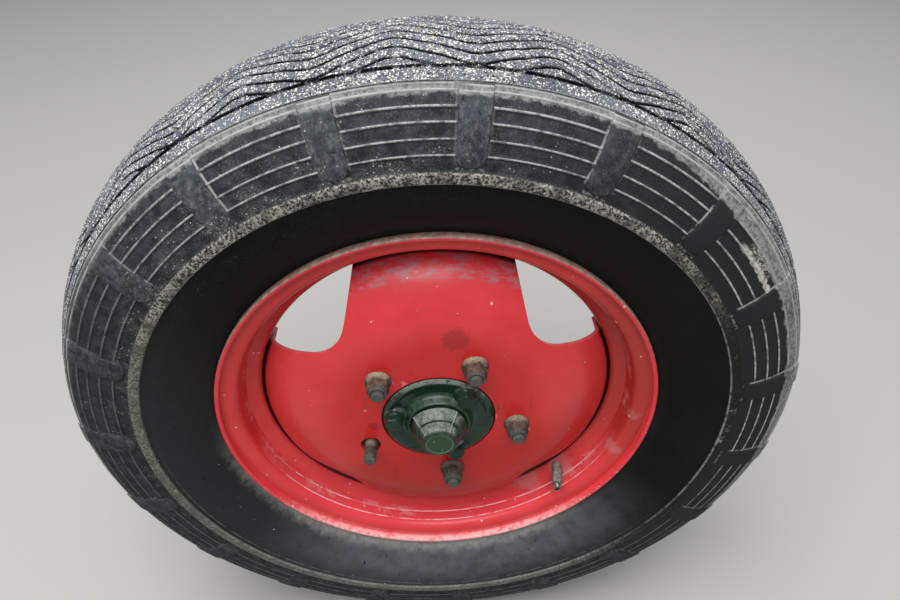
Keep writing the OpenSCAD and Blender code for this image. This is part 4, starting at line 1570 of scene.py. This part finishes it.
# %% Colour the shoulder
def shoulder_colour(net, place, radius, angle, mid, fine, part):
    """The bare shoulder or bar with its powder and grit; also gives the grit's height."""
    if part == "bars":
        colour = net.blend(mid, (0.028, 0.031, 0.036), (0.060, 0.067, 0.077))
        mottle = net.rise(net.noise(net.stretch(place, (1, 1, 0.55)), 4, 5, 0.75), 0.47, 0.64, 0.0, 0.6)
        colour = net.lay(colour, (0.14, 0.145, 0.15), mottle)
    else:
        colour = net.blend(mid, (0.018, 0.020, 0.023), (0.044, 0.048, 0.054))
    powder = net.times(net.rise(fine, 0.54, 0.70), net.rise(net.noise(place, 17, 4), 0.38, 0.60, 0.12, 0.75))
    colour = net.lay(colour, (0.19, 0.19, 0.185), powder)
    cuts = net.rise(net.noise(net.stretch(place, (1, 1, 0.3), (0, 0.5, 0)), 3.4, 2, 0.5), 0.68, 0.74)
    colour = net.lay(colour, (0.007, 0.007, 0.008), cuts, 0.8)
    above_ring = net.rise(radius, 327, 294, 0.12, 1.0)
    upper_left = net.rise(net.math("ABSOLUTE", net.math("ADD", angle, -140)), 70, 15, 0.25, 1.0)
    gritty = net.times(net.rise(net.noise(place, 22, 4, 0.6), 0.44, 0.60), above_ring, upper_left)
    stuck = net.rise(net.noise(place, 1.5, 4, 0.8), 0.50, 0.62)
    colour = net.lay(colour, (0.24, 0.23, 0.20), gritty, stuck, 0.9)
    sand = net.use(grit, place=place, size=1.5, cover=net.times(gritty, 0.28))
    colour = net.lay(colour, net.blend(0.4, sand["colour"], (0.13, 0.13, 0.125)), sand["mask"], 0.8)
    return colour, net.times(sand["height"], 0.5)


def bare_shoulder(net, shoulder, angle, fine, dusty_side):
    """The shoulder's colour where it has stayed bare: below on the left, and darkest, as painted shade, on
    the shaded side.
    """
    bare = net.lay(shoulder, (0.014, 0.015, 0.017), net.rise(dusty_side, 0.22, 1.0, 0.45, 0.0))
    darkest = net.blend(fine, (0.006, 0.0065, 0.007), (0.034, 0.035, 0.036))
    # Painted shade: the shoulder turns darkest on the shaded side.
    return net.lay(bare, darkest, net.toward(angle, SHADED_SIDE, 0.3, 0.85))


print("shoulder ready")

# %% [markdown]
# Rubber: dust and painted shadows on the shoulder
#
# Fine dust sits on the five ridges that run round the shoulder and at the upper foot of each bar. It is
# strongest on the upper right, where the wheel has stood dry, and thins out towards the lower left.

# %% Lay dust on ridges and bars' feet
def ridge_dust(net, colour, place, radius, dusty_side, clear_of_bar):
    """A light line of dust on each ridge, broken where a bar crosses, with a painted shadow beside it."""
    uneven = net.rise(net.noise(place, 2.2, 4, 0.7), 0.36, 0.56, 0.5, 1.0)
    for line in SHOULDER_LINE_R:
        # Painted shadow: a dark line just below each ridge.
        colour = net.lay(colour, (0.012, 0.012, 0.014), net.band(radius, line - 1.5, 0.5, 0.9), 0.5)
        broken = net.rise(net.noise(place, 8, 4), 0.34, 0.56, 0.35, 1.0)
        colour = net.lay(colour, (0.42, 0.42, 0.405), net.band(radius, line, 0.5, 0.5), broken, uneven,
                         clear_of_bar, dusty_side)
    return colour


def bar_foot_dust(net, colour, place, radius, angle, dusty_side):
    """Dust at the foot of each bar's upper side and round its inner end."""
    signed, from_bar = bar_places(net, angle)
    clear_of_bar = net.rise(from_bar, BAR_HALF_DEGREES + 0.1, BAR_HALF_DEGREES + 0.3)
    colour = ridge_dust(net, colour, place, radius, dusty_side, clear_of_bar)
    leans = net.math("COSINE", net.times(angle, math.pi / 180))
    upper_side = net.rise(net.times(leans, signed), 0.0, 1.2, 0.18, 1.0)
    foot = net.times(net.band(from_bar, BAR_HALF_DEGREES + 0.16, 0.10, 0.2),
                     net.rise(radius, BAR_END_R + 4, BAR_END_R + 8),
                     net.rise(net.noise(place, 9, 4), 0.36, 0.54), upper_side, dusty_side)
    colour = net.lay(colour, (0.32, 0.32, 0.305), foot)
    round_end = net.times(net.band(radius, BAR_END_R - 0.6, 0.5, 1.3),
                          net.math("LESS_THAN", from_bar, BAR_HALF_DEGREES),
                          net.rise(net.noise(place, 4, 4), 0.44, 0.6), dusty_side)
    return net.lay(colour, (0.22, 0.21, 0.19), round_end, 0.85)


print("dust ready")

# %% [markdown]
# Rubber: clay and the step
#
# A short smear of dried clay sticks to one field on the right. The step just below the tread is covered
# by a mottled grey layer between light lines and a dark line of painted shade.

# %% Lay clay and the step's dust
# The last line, 0.8 mm below the crease, is painted shade in the step's groove.
CREASE_LINES = ((6.5, (0.46, 0.455, 0.42), 0.6), (2.1, (0.45, 0.45, 0.42), 0.6),
                (0.8, (0.02, 0.02, 0.02), 0.8))


def clay_smear(net, colour, place, radius, angle):
    """A ragged smear of clay along the third ridge, with a thin speckled one beside it."""
    ragged = net.math("MULTIPLY_ADD", net.noise(place, 6, 5, 0.65), 7.0, radius)
    smear = net.times(net.band(angle, 34.6, 4.6, 2.5), net.band(ragged, SHOULDER_LINE_R[2] + 4.2, 1.6, 1.4))
    thin = net.times(net.band(angle, 36.2, 1.8, 2.4), net.band(ragged, SHOULDER_LINE_R[2] + 10.5, 2.4, 4.0),
                     net.rise(net.noise(place, 3, 4, 0.7), 0.40, 0.62))
    lumps = net.rise(net.noise(place, 4, 5, 0.7), 0.36, 0.60)
    clay = net.blend(lumps, (0.26, 0.245, 0.21), (0.56, 0.53, 0.46))
    return net.lay(colour, clay, net.most(smear, thin), 0.92)


def step_dust(net, colour, place, radius, angle, fine, dusty_side):
    """The mottled grey layer on the step below the tread, wider on the shaded side, with its lines."""
    wide = net.math("MULTIPLY_ADD", net.toward(angle, SHADED_SIDE, 0.6, 0.95), 9.0, radius)
    reach = net.rise(net.math("MULTIPLY_ADD", net.noise(place, 9, 4, 0.6), 9.0, wide), 348.5, 351)
    mottled = net.times(net.rise(net.noise(place, 3.6, 5, 0.75), 0.38, 0.58, 0.35, 1.0),
                        net.rise(net.noise(place, 30, 3), 0.30, 0.5, 0.5, 1.0))
    layer = net.blend(fine, (0.16, 0.162, 0.16), (0.41, 0.405, 0.38))
    colour = net.lay(colour, layer, reach, mottled, dusty_side, 0.9)
    for below_crease, tone, share in CREASE_LINES:
        line = net.band(radius, skin(CREASE_S - below_crease)[0][0], 0.3, 0.3)
        colour = net.lay(colour, tone, line, share, net.rise(net.noise(place, 12, 4), 0.36, 0.52, 0.3, 1.0))
    return colour


print("clay and step ready")

# %% [markdown]
# Rubber: tread
#
# The tread is bluish grey and full of sand; its grooves are painted black as shade, and are choked with sand
# in places.
# Two sizes of grit lie over each other, as in the wet sand that the wheel has rolled through.

# %% Colour the tread
def tread_colour(net, colour, place, on_tread, lift, big):
    """Wet bluish rubber under two sizes of grit, painted shade in the grooves; also gives the grit's height.
    """
    wet = net.blend(big, (0.072, 0.078, 0.094), (0.148, 0.160, 0.190))
    colour = net.lay(colour, wet, on_tread)
    thick = net.rise(net.noise(place, 24, 4, 0.6), 0.36, 0.58)
    heights = []
    for size, thin_cover, thick_cover, height in ((1.25, 0.42, 0.86, 0.6), (2.3, 0.2, 0.7, 1.6)):
        cover = net.times(on_tread, net.rise(thick, 0, 1, thin_cover, thick_cover))
        sand = net.use(grit, place=place, size=size, cover=cover)
        colour = net.lay(colour, sand["colour"], sand["mask"])
        heights.append(net.times(sand["height"], height))
    choked = net.rise(net.noise(place, 11, 4, 0.65), 0.62, 0.50, 0.15, 0.95)
    # Painted shade: the grooves turn near black below the ribs' tops, less where sand chokes them.
    groove_shade = net.times(net.rise(lift, -0.75, -1.5), on_tread, choked)
    return net.lay(colour, (0.006, 0.006, 0.008), groove_shade), net.math("ADD", *heights)


print("tread ready")

# %% [markdown]
# Rubber: the whole finish
#
# The finish puts the zones over one another from the rim outwards, and each piece gets only the zones
# that it has. The modelled grains take their tone from the number that each carries.

# %% Make the rubber
def rubber_finish(name, part):
    """Rubber for one part of the tyre: carcass, ribs or bars."""
    material, net, shader = finish_named(name)
    place, radius, angle, depth = place_on_wheel(net)
    big = cloudy(net, place, 46, 0.35, 0.65)
    mid = cloudy(net, place, 11, 0.4, 0.62)
    fine = net.noise(place, 1.2, 3, 0.7)
    dusty_side = net.toward(angle, 60, -0.15, 0.55, 0.22, 1.0)
    on_shoulder = net.rise(radius, RING_R[1] - 0.6, RING_R[1] + 0.4)
    shoulder, sand_height = shoulder_colour(net, place, radius, angle, mid, fine, part)
    shoulder = bare_shoulder(net, shoulder, angle, fine, dusty_side)
    colour = net.lay(sidewall_colour(net, place, radius, angle, big, fine), shoulder, on_shoulder)
    height = net.math("MULTIPLY_ADD", fine, 0.12, net.times(sand_height, on_shoulder))
    side = net.math("ABSOLUTE", net.math("SUBTRACT", depth, rim_middle))
    if part == "carcass":
        colour = net.lay(colour, ring_colour(net, place, angle),
                         net.rise(radius, RING_R[0] - 0.5, RING_R[0] + 0.3),
                         net.rise(radius, RING_R[1] + 0.4, RING_R[1] - 0.8))
        rubbed = net.rise(net.noise(place, 8, 3), 0.38, 0.55, 0.1, 0.7)
        colour = net.lay(colour, (0.34, 0.33, 0.31), net.band(radius, 281.9, 0.35, 0.35), rubbed, dusty_side)
        colour = bar_foot_dust(net, colour, place, radius, angle, dusty_side)
        colour = clay_smear(net, colour, place, radius, angle)
    colour = step_dust(net, colour, place, radius, angle, fine, dusty_side)
    if part == "carcass":
        on_tread = net.times(net.rise(radius, CREASE_R - 0.2, CREASE_R + 0.3),
                             net.math("LESS_THAN", side, 66.5))
    if part == "ribs":
        on_tread = net.math("GREATER_THAN", radius, 0.0)
    if part in ("carcass", "ribs"):
        lift = height_above_skin(net, radius, side)
        colour, grit_height = tread_colour(net, colour, place, on_tread, lift, big)
        height = net.math("ADD", height, grit_height)
    connect(net, shader, colour, net.rise(on_shoulder, 0, 1, 0.62, 0.8), height, 0.35)
    set_gloss(shader, Specular_IOR_Level=0.12)
    return material


dress(tyre, rubber_finish("rubber_carcass", "carcass"))
dress(ribs, rubber_finish("rubber_ribs", "ribs"))
dress(near_bars, rubber_finish("rubber_bars", "bars"))
dress(far_bars, rubber_finish("rubber_far_bars", "bars"))
sand_material, net, shader = finish_named("sand")
tone = net.add("ShaderNodeAttribute", attribute_name="tone").outputs["Fac"]
connect(net, shader, grit_tones(net, tone), 0.6)
dress(grains, sand_material)
print("rubber on the tyre's four pieces, sand on the grains")

# %% [markdown]
# Red paint: the rim's dirt, painted highlights and painted shade
#
# The rim and disc wear one thick coat of red. On the rim, brown dust lies on the lip's outer face where
# it looks up, painted highlights follow the ridges, the lip at the bottom and the lip's front edge, and
# dark chips break them. The wall on the right faces away from the sky and is painted darker as shade.

# %% Colour the rim
def rim_colour(net, colour, place, radius, angle, depth, dust, fine):
    """Painted shade on the right wall, painted highlights and chips on the lip, painted highlight lines on
    the ridges, and mud on the outer face.
    """
    low_down = net.toward(angle, -90, 0.3, 0.7)
    right_wall = net.times(net.toward(angle, SHADED_SIDE, 0.7, 0.97), net.math("LESS_THAN", radius, 215))
    # Painted shade: the wall on the right faces away from the sky.
    colour = net.lay(colour, (0.36, 0.026, 0.018), right_wall, 0.75)
    edge = net.times(net.rise(depth, 2.2, 0.9), net.math("GREATER_THAN", radius, 214))
    # Painted highlight: the lip's front edge is a lighter red.
    colour = net.lay(colour, (0.70, 0.040, 0.055), edge, 0.8)
    # Painted highlight: pale pink on the lip at the bottom, where it faces the sky.
    lip_highlight = net.times(net.rise(depth, 9.0, 4.0), net.math("GREATER_THAN", radius, 211),
                         net.toward(angle, -92, 0.55, 0.9))
    colour = net.lay(colour, (0.88, 0.42, 0.42), lip_highlight,
                     net.rise(net.noise(place, 7, 4, 0.6), 0.34, 0.56, 0.35, 1.0))
    chips = net.rise(net.noise(place, 2.6, 4, 0.7), 0.56, 0.63)
    colour = net.lay(colour, (0.80, 0.62, 0.50), edge, low_down, chips, 0.9)
    dark_chips = net.rise(net.noise(place, 4.1, 4, 0.7), 0.62, 0.68)
    colour = net.lay(colour, (0.10, 0.04, 0.035), edge, low_down, dark_chips, 0.8)
    # Painted highlights: pale pink lines on the well's two ridges at the bottom.
    for ridge_depth in (16.6, 27.6):
        ridge_highlight = net.times(net.band(depth, ridge_depth, 0.45, 0.5), net.math("LESS_THAN", radius, 201))
        colour = net.lay(colour, (0.88, 0.46, 0.48), ridge_highlight, low_down,
                         net.rise(net.noise(place, 12, 4), 0.36, 0.56, 0.15, 1), 0.85)
    outer_face = net.times(net.math("GREATER_THAN", radius, 218.2), net.math("LESS_THAN", depth, 30))
    mud = net.times(outer_face, net.rise(dust["facing_up"], 0.05, 0.4),
                    net.rise(net.noise(place, 7, 5, 0.65), 0.32, 0.5, 0.6, 1))
    return net.lay(colour, net.blend(fine, (0.26, 0.185, 0.145), (0.42, 0.34, 0.27)), mud, 0.95)


print("rim's dirt ready")

# %% [markdown]
# Red paint: the disc's dirt and painted shade
#
# The disc's middle is painted a deeper red as shade, and the disc below the hub is painted darker as
# shade, with a few dark drips below the hub. Its shoulder is painted darker as shade at the bottom and on
# the lower right, and scuffed pale on the upper arm, where a painted highlight lies over the scuffs.

# %% Colour the disc
def spot_mask(net, place, centre, reach):
    """A ragged patch round a place on the wheel, given as angle, radius and depth."""
    angle, r, d = centre
    spot = (r * math.cos(math.radians(angle)), d, r * math.sin(math.radians(angle)))
    away = net.add("ShaderNodeVectorMath", {0: place, 1: spot}, operation="DISTANCE").outputs["Value"]
    ragged = net.math("MULTIPLY_ADD", net.noise(place, reach * 0.35, 5, 0.65), reach * 1.1, away)
    return net.rise(ragged, reach * 1.45, reach * 1.05)


def disc_colour(net, colour, place, radius, angle):
    """Painted shade in the middle, below the hub, at the bottom and lower right; drips, smudges, and scuffs
    with a painted highlight on the upper arm.
    """
    # Painted shade: the flat middle, which faces away from the sky, turns a deeper red.
    colour = net.lay(colour, (0.56, 0.016, 0.014), net.rise(radius, 125, 85, 0.0, 0.8))
    # Painted shade: the disc turns darker below the hub.
    shade_below_hub = net.times(net.toward(angle, -82, 0.25, 0.9), net.rise(radius, 45, 70))
    colour = net.lay(colour, (0.44, 0.007, 0.005), shade_below_hub, 0.8)
    drips = net.times(net.rise(net.noise(net.stretch(place, (1, 1, 0.18)), 5, 3), 0.58, 0.68),
                      net.rise(radius, 130, 60), net.rise(net.noise(place, 30, 2), 0.5, 0.6))
    colour = net.lay(colour, (0.09, 0.010, 0.012), drips, 0.5)
    # Partly scuffs and partly a painted highlight where the upper arm's shoulder faces the sky.
    upper_arm = net.rise(net.math("ABSOLUTE", net.math("ADD", angle, -90)), 34, 24)
    scuff_and_highlight = net.times(net.band(radius, 171, 7, 4), upper_arm,
                      net.rise(net.noise(net.stretch(place, (0.35, 1, 1)), 5, 5, 0.65), 0.44, 0.6))
    colour = net.lay(colour, (0.42, 0.21, 0.24), scuff_and_highlight, 0.7)
    smudge = net.most(spot_mask(net, place, (81, 106, 1), 17), spot_mask(net, place, (-172, 66, 1), 8))
    colour = net.lay(colour, (0.20, 0.012, 0.016), smudge, 0.5)
    # Painted shade: the disc turns darker towards the bottom and on the lower right.
    shade_at_bottom = net.times(net.toward(angle, -88, 0.45, 0.95), net.rise(radius, 84, 116),
                          net.rise(net.noise(place, 22, 4, 0.6), 0.28, 0.6, 0.6, 1.0))
    colour = net.lay(colour, (0.38, 0.009, 0.005), shade_at_bottom, 0.85)
    shade_lower_right = net.times(net.toward(angle, -40, 0.75, 0.97), net.band(radius, 130, 25, 20))
    return net.lay(colour, (0.52, 0.008, 0.004), shade_lower_right, 0.75)


print("disc's dirt ready")

# %% [markdown]
# Red paint: the whole finish
#
# Faces that look up are painted a lighter red as sky light. Over both pieces lie patches of dried grey
# mud, painted shade in the seam where the disc meets the well, worn edges that show light primer, and
# small specks. Dust takes away some of the gloss.

# %% Make the red paint
MUD_PATCHES = {"rim": ((-56, 184, 43, 24), (-42, 190, 38, 20), (-20, 205, 16, 14), (-4, 206, 16, 12)),
               "disc": ((-62, 174, 38, 9),)}


def red_finish(name, part):
    """Worn gloss red for the rim or the disc."""
    material, net, shader = finish_named(name)
    place, radius, angle, depth = place_on_wheel(net)
    dust = net.use(settled_dust, place=place, amount=1.0, size=26)
    worn = net.use(edge_wear_and_hollow_shade, place=place, start=0.53, end=0.62, size=7)
    big = cloudy(net, place, 60, 0.35, 0.65)
    fine = cloudy(net, place, 5, 0.42, 0.6)
    colour = net.blend(big, (0.60, 0.032, 0.032), (0.69, 0.046, 0.046))
    # Painted light: faces that look up to the sky get a lighter red.
    colour = net.lay(colour, (0.76, 0.062, 0.078), dust["facing_up"], 0.7)
    if part == "rim":
        colour = rim_colour(net, colour, place, radius, angle, depth, dust, fine)
        seam_shade = net.times(net.band(depth, 43.5, 1.2, 1.6), net.math("LESS_THAN", radius, 186))
    else:
        colour = disc_colour(net, colour, place, radius, angle)
        seam_shade = net.times(net.rise(radius, 176.2, 178.2), net.rise(depth, 37, 40))
    for turn, r, d, reach in MUD_PATCHES[part]:
        colour = net.lay(colour, (0.46, 0.25, 0.235), spot_mask(net, place, (turn, r, d), reach), 0.35)
    # Painted shade: near black in the seam where the disc meets the well.
    colour = net.lay(colour, (0.018, 0.007, 0.006), seam_shade, 0.9)
    colour = net.lay(colour, (0.76, 0.34, 0.33), worn["edge"],
                     net.rise(net.noise(place, 40, 2), 0.47, 0.6), 0.7)
    spots = net.most(net.use(specks, place=place, size=9, share=0.22)["mask"],
                     net.use(specks, place=place, size=15, share=0.3)["mask"])
    colour = net.lay(colour, (0.74, 0.56, 0.52), spots, 0.7)
    rough = net.math("ADD", net.rise(net.times(dust["mask"], fine), 0, 1, 0.30, 0.55), net.times(spots, 0.2))
    connect(net, shader, colour, rough, net.noise(place, 9, 2), 0.12)
    set_gloss(shader, Specular_IOR_Level=0.26, Coat_Weight=0.06, Coat_Roughness=0.12)
    return material


dress(rim, red_finish("red_rim", "rim"))
dress(disc, red_finish("red_disc", "disc"))
print("red paint on rim and disc")

# %% [markdown]
# Green paint: the cap's dust, wear and painted light
#
# Most of the dust on the cap lies on the upper side of its nose and, thinner, on the flange's chamfer.
# The upper keystone's long edges are rubbed light, the nose's face has a painted highlight ring, and painted
# shade lies under the cap's rim.

# %% Colour the cap
def cap_dust(net, dusty, place, radius, angle, depth, facing_up):
    """Adds the dust of nose and chamfer; also gives the mask of the nose."""
    on_nose = net.times(net.math("LESS_THAN", radius, 33), net.rise(depth, -10.5, -12),
                        net.rise(depth, -31.5, -30.5))
    nose_dust = net.times(on_nose, net.rise(facing_up, 0.25, 0.7),
                          net.rise(net.noise(place, 5, 5, 0.6), 0.36, 0.60, 0.3, 0.75))
    chamfer = net.times(net.rise(radius, 50.5, 52.5), net.rise(facing_up, 0.0, 0.5),
                        net.rise(net.noise(place, 6, 4), 0.38, 0.55, 0.15, 0.6),
                        net.toward(angle, 90, -0.1, 0.6))
    return net.most(dusty, nose_dust, chamfer), on_nose


def cap_marks(net, colour, radius, angle, depth, on_nose):
    """Rubbed keystone edges, the nose's face with a painted highlight ring, and painted shade at the foot of
    the rim.
    """
    for turn in (KEYSTONE_TURN - 43.3, KEYSTONE_TURN + 43.5):
        colour = net.lay(colour, (0.36, 0.38, 0.36), net.band(angle, turn, 1.0, 1.2), on_nose,
                         net.math("LESS_THAN", depth, -13), 0.8)
    face = net.times(net.rise(depth, -31.4, -32.4), net.rise(radius, 14.5, 13.5))
    # Painted highlight: a lighter ring on the nose's face.
    face_with_highlight_ring = net.blend(net.band(radius, 13.0, 0.3, 0.6), (0.013, 0.050, 0.017), (0.075, 0.13, 0.09))
    colour = net.lay(colour, face_with_highlight_ring, face)
    # Painted shade: near black under the cap's rim.
    foot = net.times(net.rise(radius, 55.8, 56.2), net.rise(depth, -0.5, 0.5))
    return net.lay(colour, (0.004, 0.004, 0.004), foot)


print("cap's dust and marks ready")

# %% [markdown]
# Green paint: the whole finish
#
# Hub, cap, cap bolts and stub axle are so dark a green that the sky's reflection draws their forms.
# Edges are worn lighter, hollows are painted darker as shade, and the bolts have the least dust and the
# dullest paint.

# %% Make the green paint
def green_finish(name, dust_amount, edge_amount, specular=0.27, on_cap=False):
    """Dark gloss green with more or less dust and worn edges."""
    material, net, shader = finish_named(name)
    place, radius, angle, depth = place_on_wheel(net)
    dust = net.use(settled_dust, place=place, amount=dust_amount, size=7)
    worn = net.use(edge_wear_and_hollow_shade, place=place, start=0.53, end=0.60, size=3)
    big = cloudy(net, place, 22, 0.35, 0.65)
    colour = net.blend(big, (0.003, 0.016, 0.007), (0.008, 0.034, 0.016))
    dusty = dust["mask"]
    if on_cap:
        dusty, on_nose = cap_dust(net, dusty, place, radius, angle, depth, dust["facing_up"])
    colour = net.lay(colour, (0.16, 0.24, 0.20), worn["edge"], edge_amount)
    # Painted shade: the hollows of the mesh turn nearly black.
    colour = net.lay(colour, (0.004, 0.007, 0.005), worn["hollow"], 0.8)
    beige = net.blend(net.noise(place, 2.5, 4, 0.65), (0.09, 0.15, 0.12), (0.37, 0.36, 0.31))
    colour = net.lay(colour, beige, dusty)
    if on_cap:
        colour = cap_marks(net, colour, radius, angle, depth, on_nose)
    spots = net.use(specks, place=place, size=8, share=0.4)["mask"]
    colour = net.lay(colour, (0.35, 0.35, 0.32), spots, 0.5)
    connect(net, shader, colour, net.rise(dusty, 0, 0.7, 0.26, 0.65), net.noise(place, 2.5, 3), 0.10)
    set_gloss(shader, Specular_IOR_Level=specular, Coat_Weight=0.12, Coat_Roughness=0.1)
    return material


dress(hub_cap, green_finish("green_cap", 0.35, 0.5, on_cap=True))
for k in range(CAP_BOLTS):
    dress(bpy.data.objects[f"cap_bolt_dressed_{k + 1}"], green_finish(f"green_bolt_{k + 1}", 0.08, 0.15, 0.2))
dull_green = green_finish("green_casting", 0.35, 0.3)
dress(bpy.data.objects["hub_dressed"], dull_green)
dress(bpy.data.objects["stub_axle_dressed"], dull_green)
print("green paint on hub, cap, bolts and stub axle")

# %% [markdown]
# Rusty nuts and studs
#
# The nuts were painted once and have rusted since: tan rust and dried mud on top, dark pitted scale
# below, and a trace of green at their ends. The studs are dark rust with lighter thread crests. Each
# piece shifts the pattern by its own seed, so that no two look alike.

# %% Make the rust
def rust_finish(name, tan, seed):
    """Old rust on a nut or stud; tan is the share of light rust."""
    material, net, shader = finish_named(name)
    wheel, _, _, depth = place_on_wheel(net)
    place = net.add("ShaderNodeVectorMath", {0: wheel, 1: (31.0 * seed, 0, 17.0 * seed)}).outputs[0]
    dust = net.use(settled_dust, place=place, amount=1.0, size=6)
    worn = net.use(edge_wear_and_hollow_shade, place=place, start=0.52, end=0.60, size=2)
    blotch = cloudy(net, place, 5, 0.42, 0.58)
    pits = net.noise(place, 1.1, 4, 0.7)
    skirt = net.rise(depth, -5.5, -3.0)
    outer_end = net.rise(depth, -14.6, -15.6)
    colour = net.blend(blotch, (0.012, 0.010, 0.009), (0.070, 0.048, 0.034))
    colour = net.lay(colour, (0.25, 0.18, 0.115), dust["mask"], tan, net.rise(skirt, 0, 1, 0.55, 1.0))
    colour = net.lay(colour, (0.38, 0.30, 0.20), dust["facing_up"], skirt, tan, 0.9)
    colour = net.lay(colour, (0.075, 0.078, 0.066), outer_end, 0.75)
    colour = net.lay(colour, (0.34, 0.27, 0.19), worn["edge"], 0.5 * tan)
    colour = net.lay(colour, (0.012, 0.009, 0.008), net.rise(pits, 0.52, 0.40, 0, 0.8))
    connect(net, shader, colour, net.rise(pits, 0.3, 0.7, 0.6, 0.85), pits, 0.5)
    return material


for k, tan in enumerate((0.75, 1.0, 1.0, 0.3)):
    dress(bpy.data.objects[f"wheel_nut_dressed_{k + 1}"], rust_finish(f"rust_nut_{k + 1}", tan, k))
for k in range(STUDS):
    dress(bpy.data.objects[f"wheel_stud_dressed_{k + 1}"], rust_finish(f"rust_stud_{k + 1}", 0.5, k + STUDS))
print("rust on", nut_number, "nuts and", STUDS, "studs")

# %% [markdown]
# Bare steel
#
# The pins and the washer at the axle are machined and oiled, with a little rust. The grease seal is the
# same steel, dark with old grease.

# %% Make the bare steel
def steel_finish(name, colour_low, colour_high, roughness, metal):
    """Machined steel with oil and a little rust."""
    material, net, shader = finish_named(name)
    place = net.use(wheel_place)["place"]
    film = cloudy(net, place, 14, 0.38, 0.62)
    dust = net.use(settled_dust, place=place, amount=0.35, size=9)
    colour = net.blend(film, colour_low, colour_high)
    rust = cloudy(net, place, 8, 0.58, 0.68)
    colour = net.lay(colour, (0.12, 0.055, 0.025), rust, 0.7)
    colour = net.lay(colour, (0.26, 0.23, 0.19), dust["mask"])
    rough = net.rise(film, 0, 1, roughness, roughness + 0.15)
    connect(net, shader, colour, rough, net.noise(place, 1.5, 3), 0.05)
    net.tree.links.new(net.rise(rust, 0, 1, metal, 0.1), shader.inputs["Metallic"])
    return material


bare = steel_finish("bare_steel", (0.20, 0.20, 0.20), (0.36, 0.36, 0.35), 0.35, 0.9)
for piece in ("king_pin_dressed", "lock_pin_dressed", "thrust_washer_dressed"):
    dress(bpy.data.objects[piece], bare)
greasy = steel_finish("seal_steel", (0.06, 0.055, 0.05), (0.16, 0.15, 0.14), 0.4, 0.8)
dress(bpy.data.objects["grease_seal_dressed"], greasy)
print("steel on pins, washer and seal")

# %% [markdown]
# Valve
#
# The valve is dusty rubber at its foot and dull worn metal at its end. Depth tells the two apart.

# %% Make the valve's rubber and metal
valve_material, net, shader = finish_named("valve_rubber_and_metal")
place, radius, angle, depth = place_on_wheel(net)
dust = net.use(settled_dust, place=place, amount=1.0, size=5)
metal_end = net.rise(depth, 7.5, 6.5)
dusty_rubber = net.blend(dust["mask"], (0.045, 0.042, 0.038), (0.30, 0.27, 0.22))
tarnish = cloudy(net, place, 3, 0.4, 0.6)
worn_metal = net.blend(tarnish, (0.10, 0.09, 0.07), (0.34, 0.32, 0.26))
colour = net.lay(dusty_rubber, worn_metal, metal_end)
connect(net, shader, colour, net.rise(metal_end, 0, 1, 0.8, 0.38), net.noise(place, 1.5, 3), 0.1)
net.tree.links.new(net.times(metal_end, 0.85), shader.inputs["Metallic"])
dress(valve, valve_material)
print("materials:", len(bpy.data.materials))

# %% [markdown]
# Finish
#
# Nothing may stand out of the solids' box.
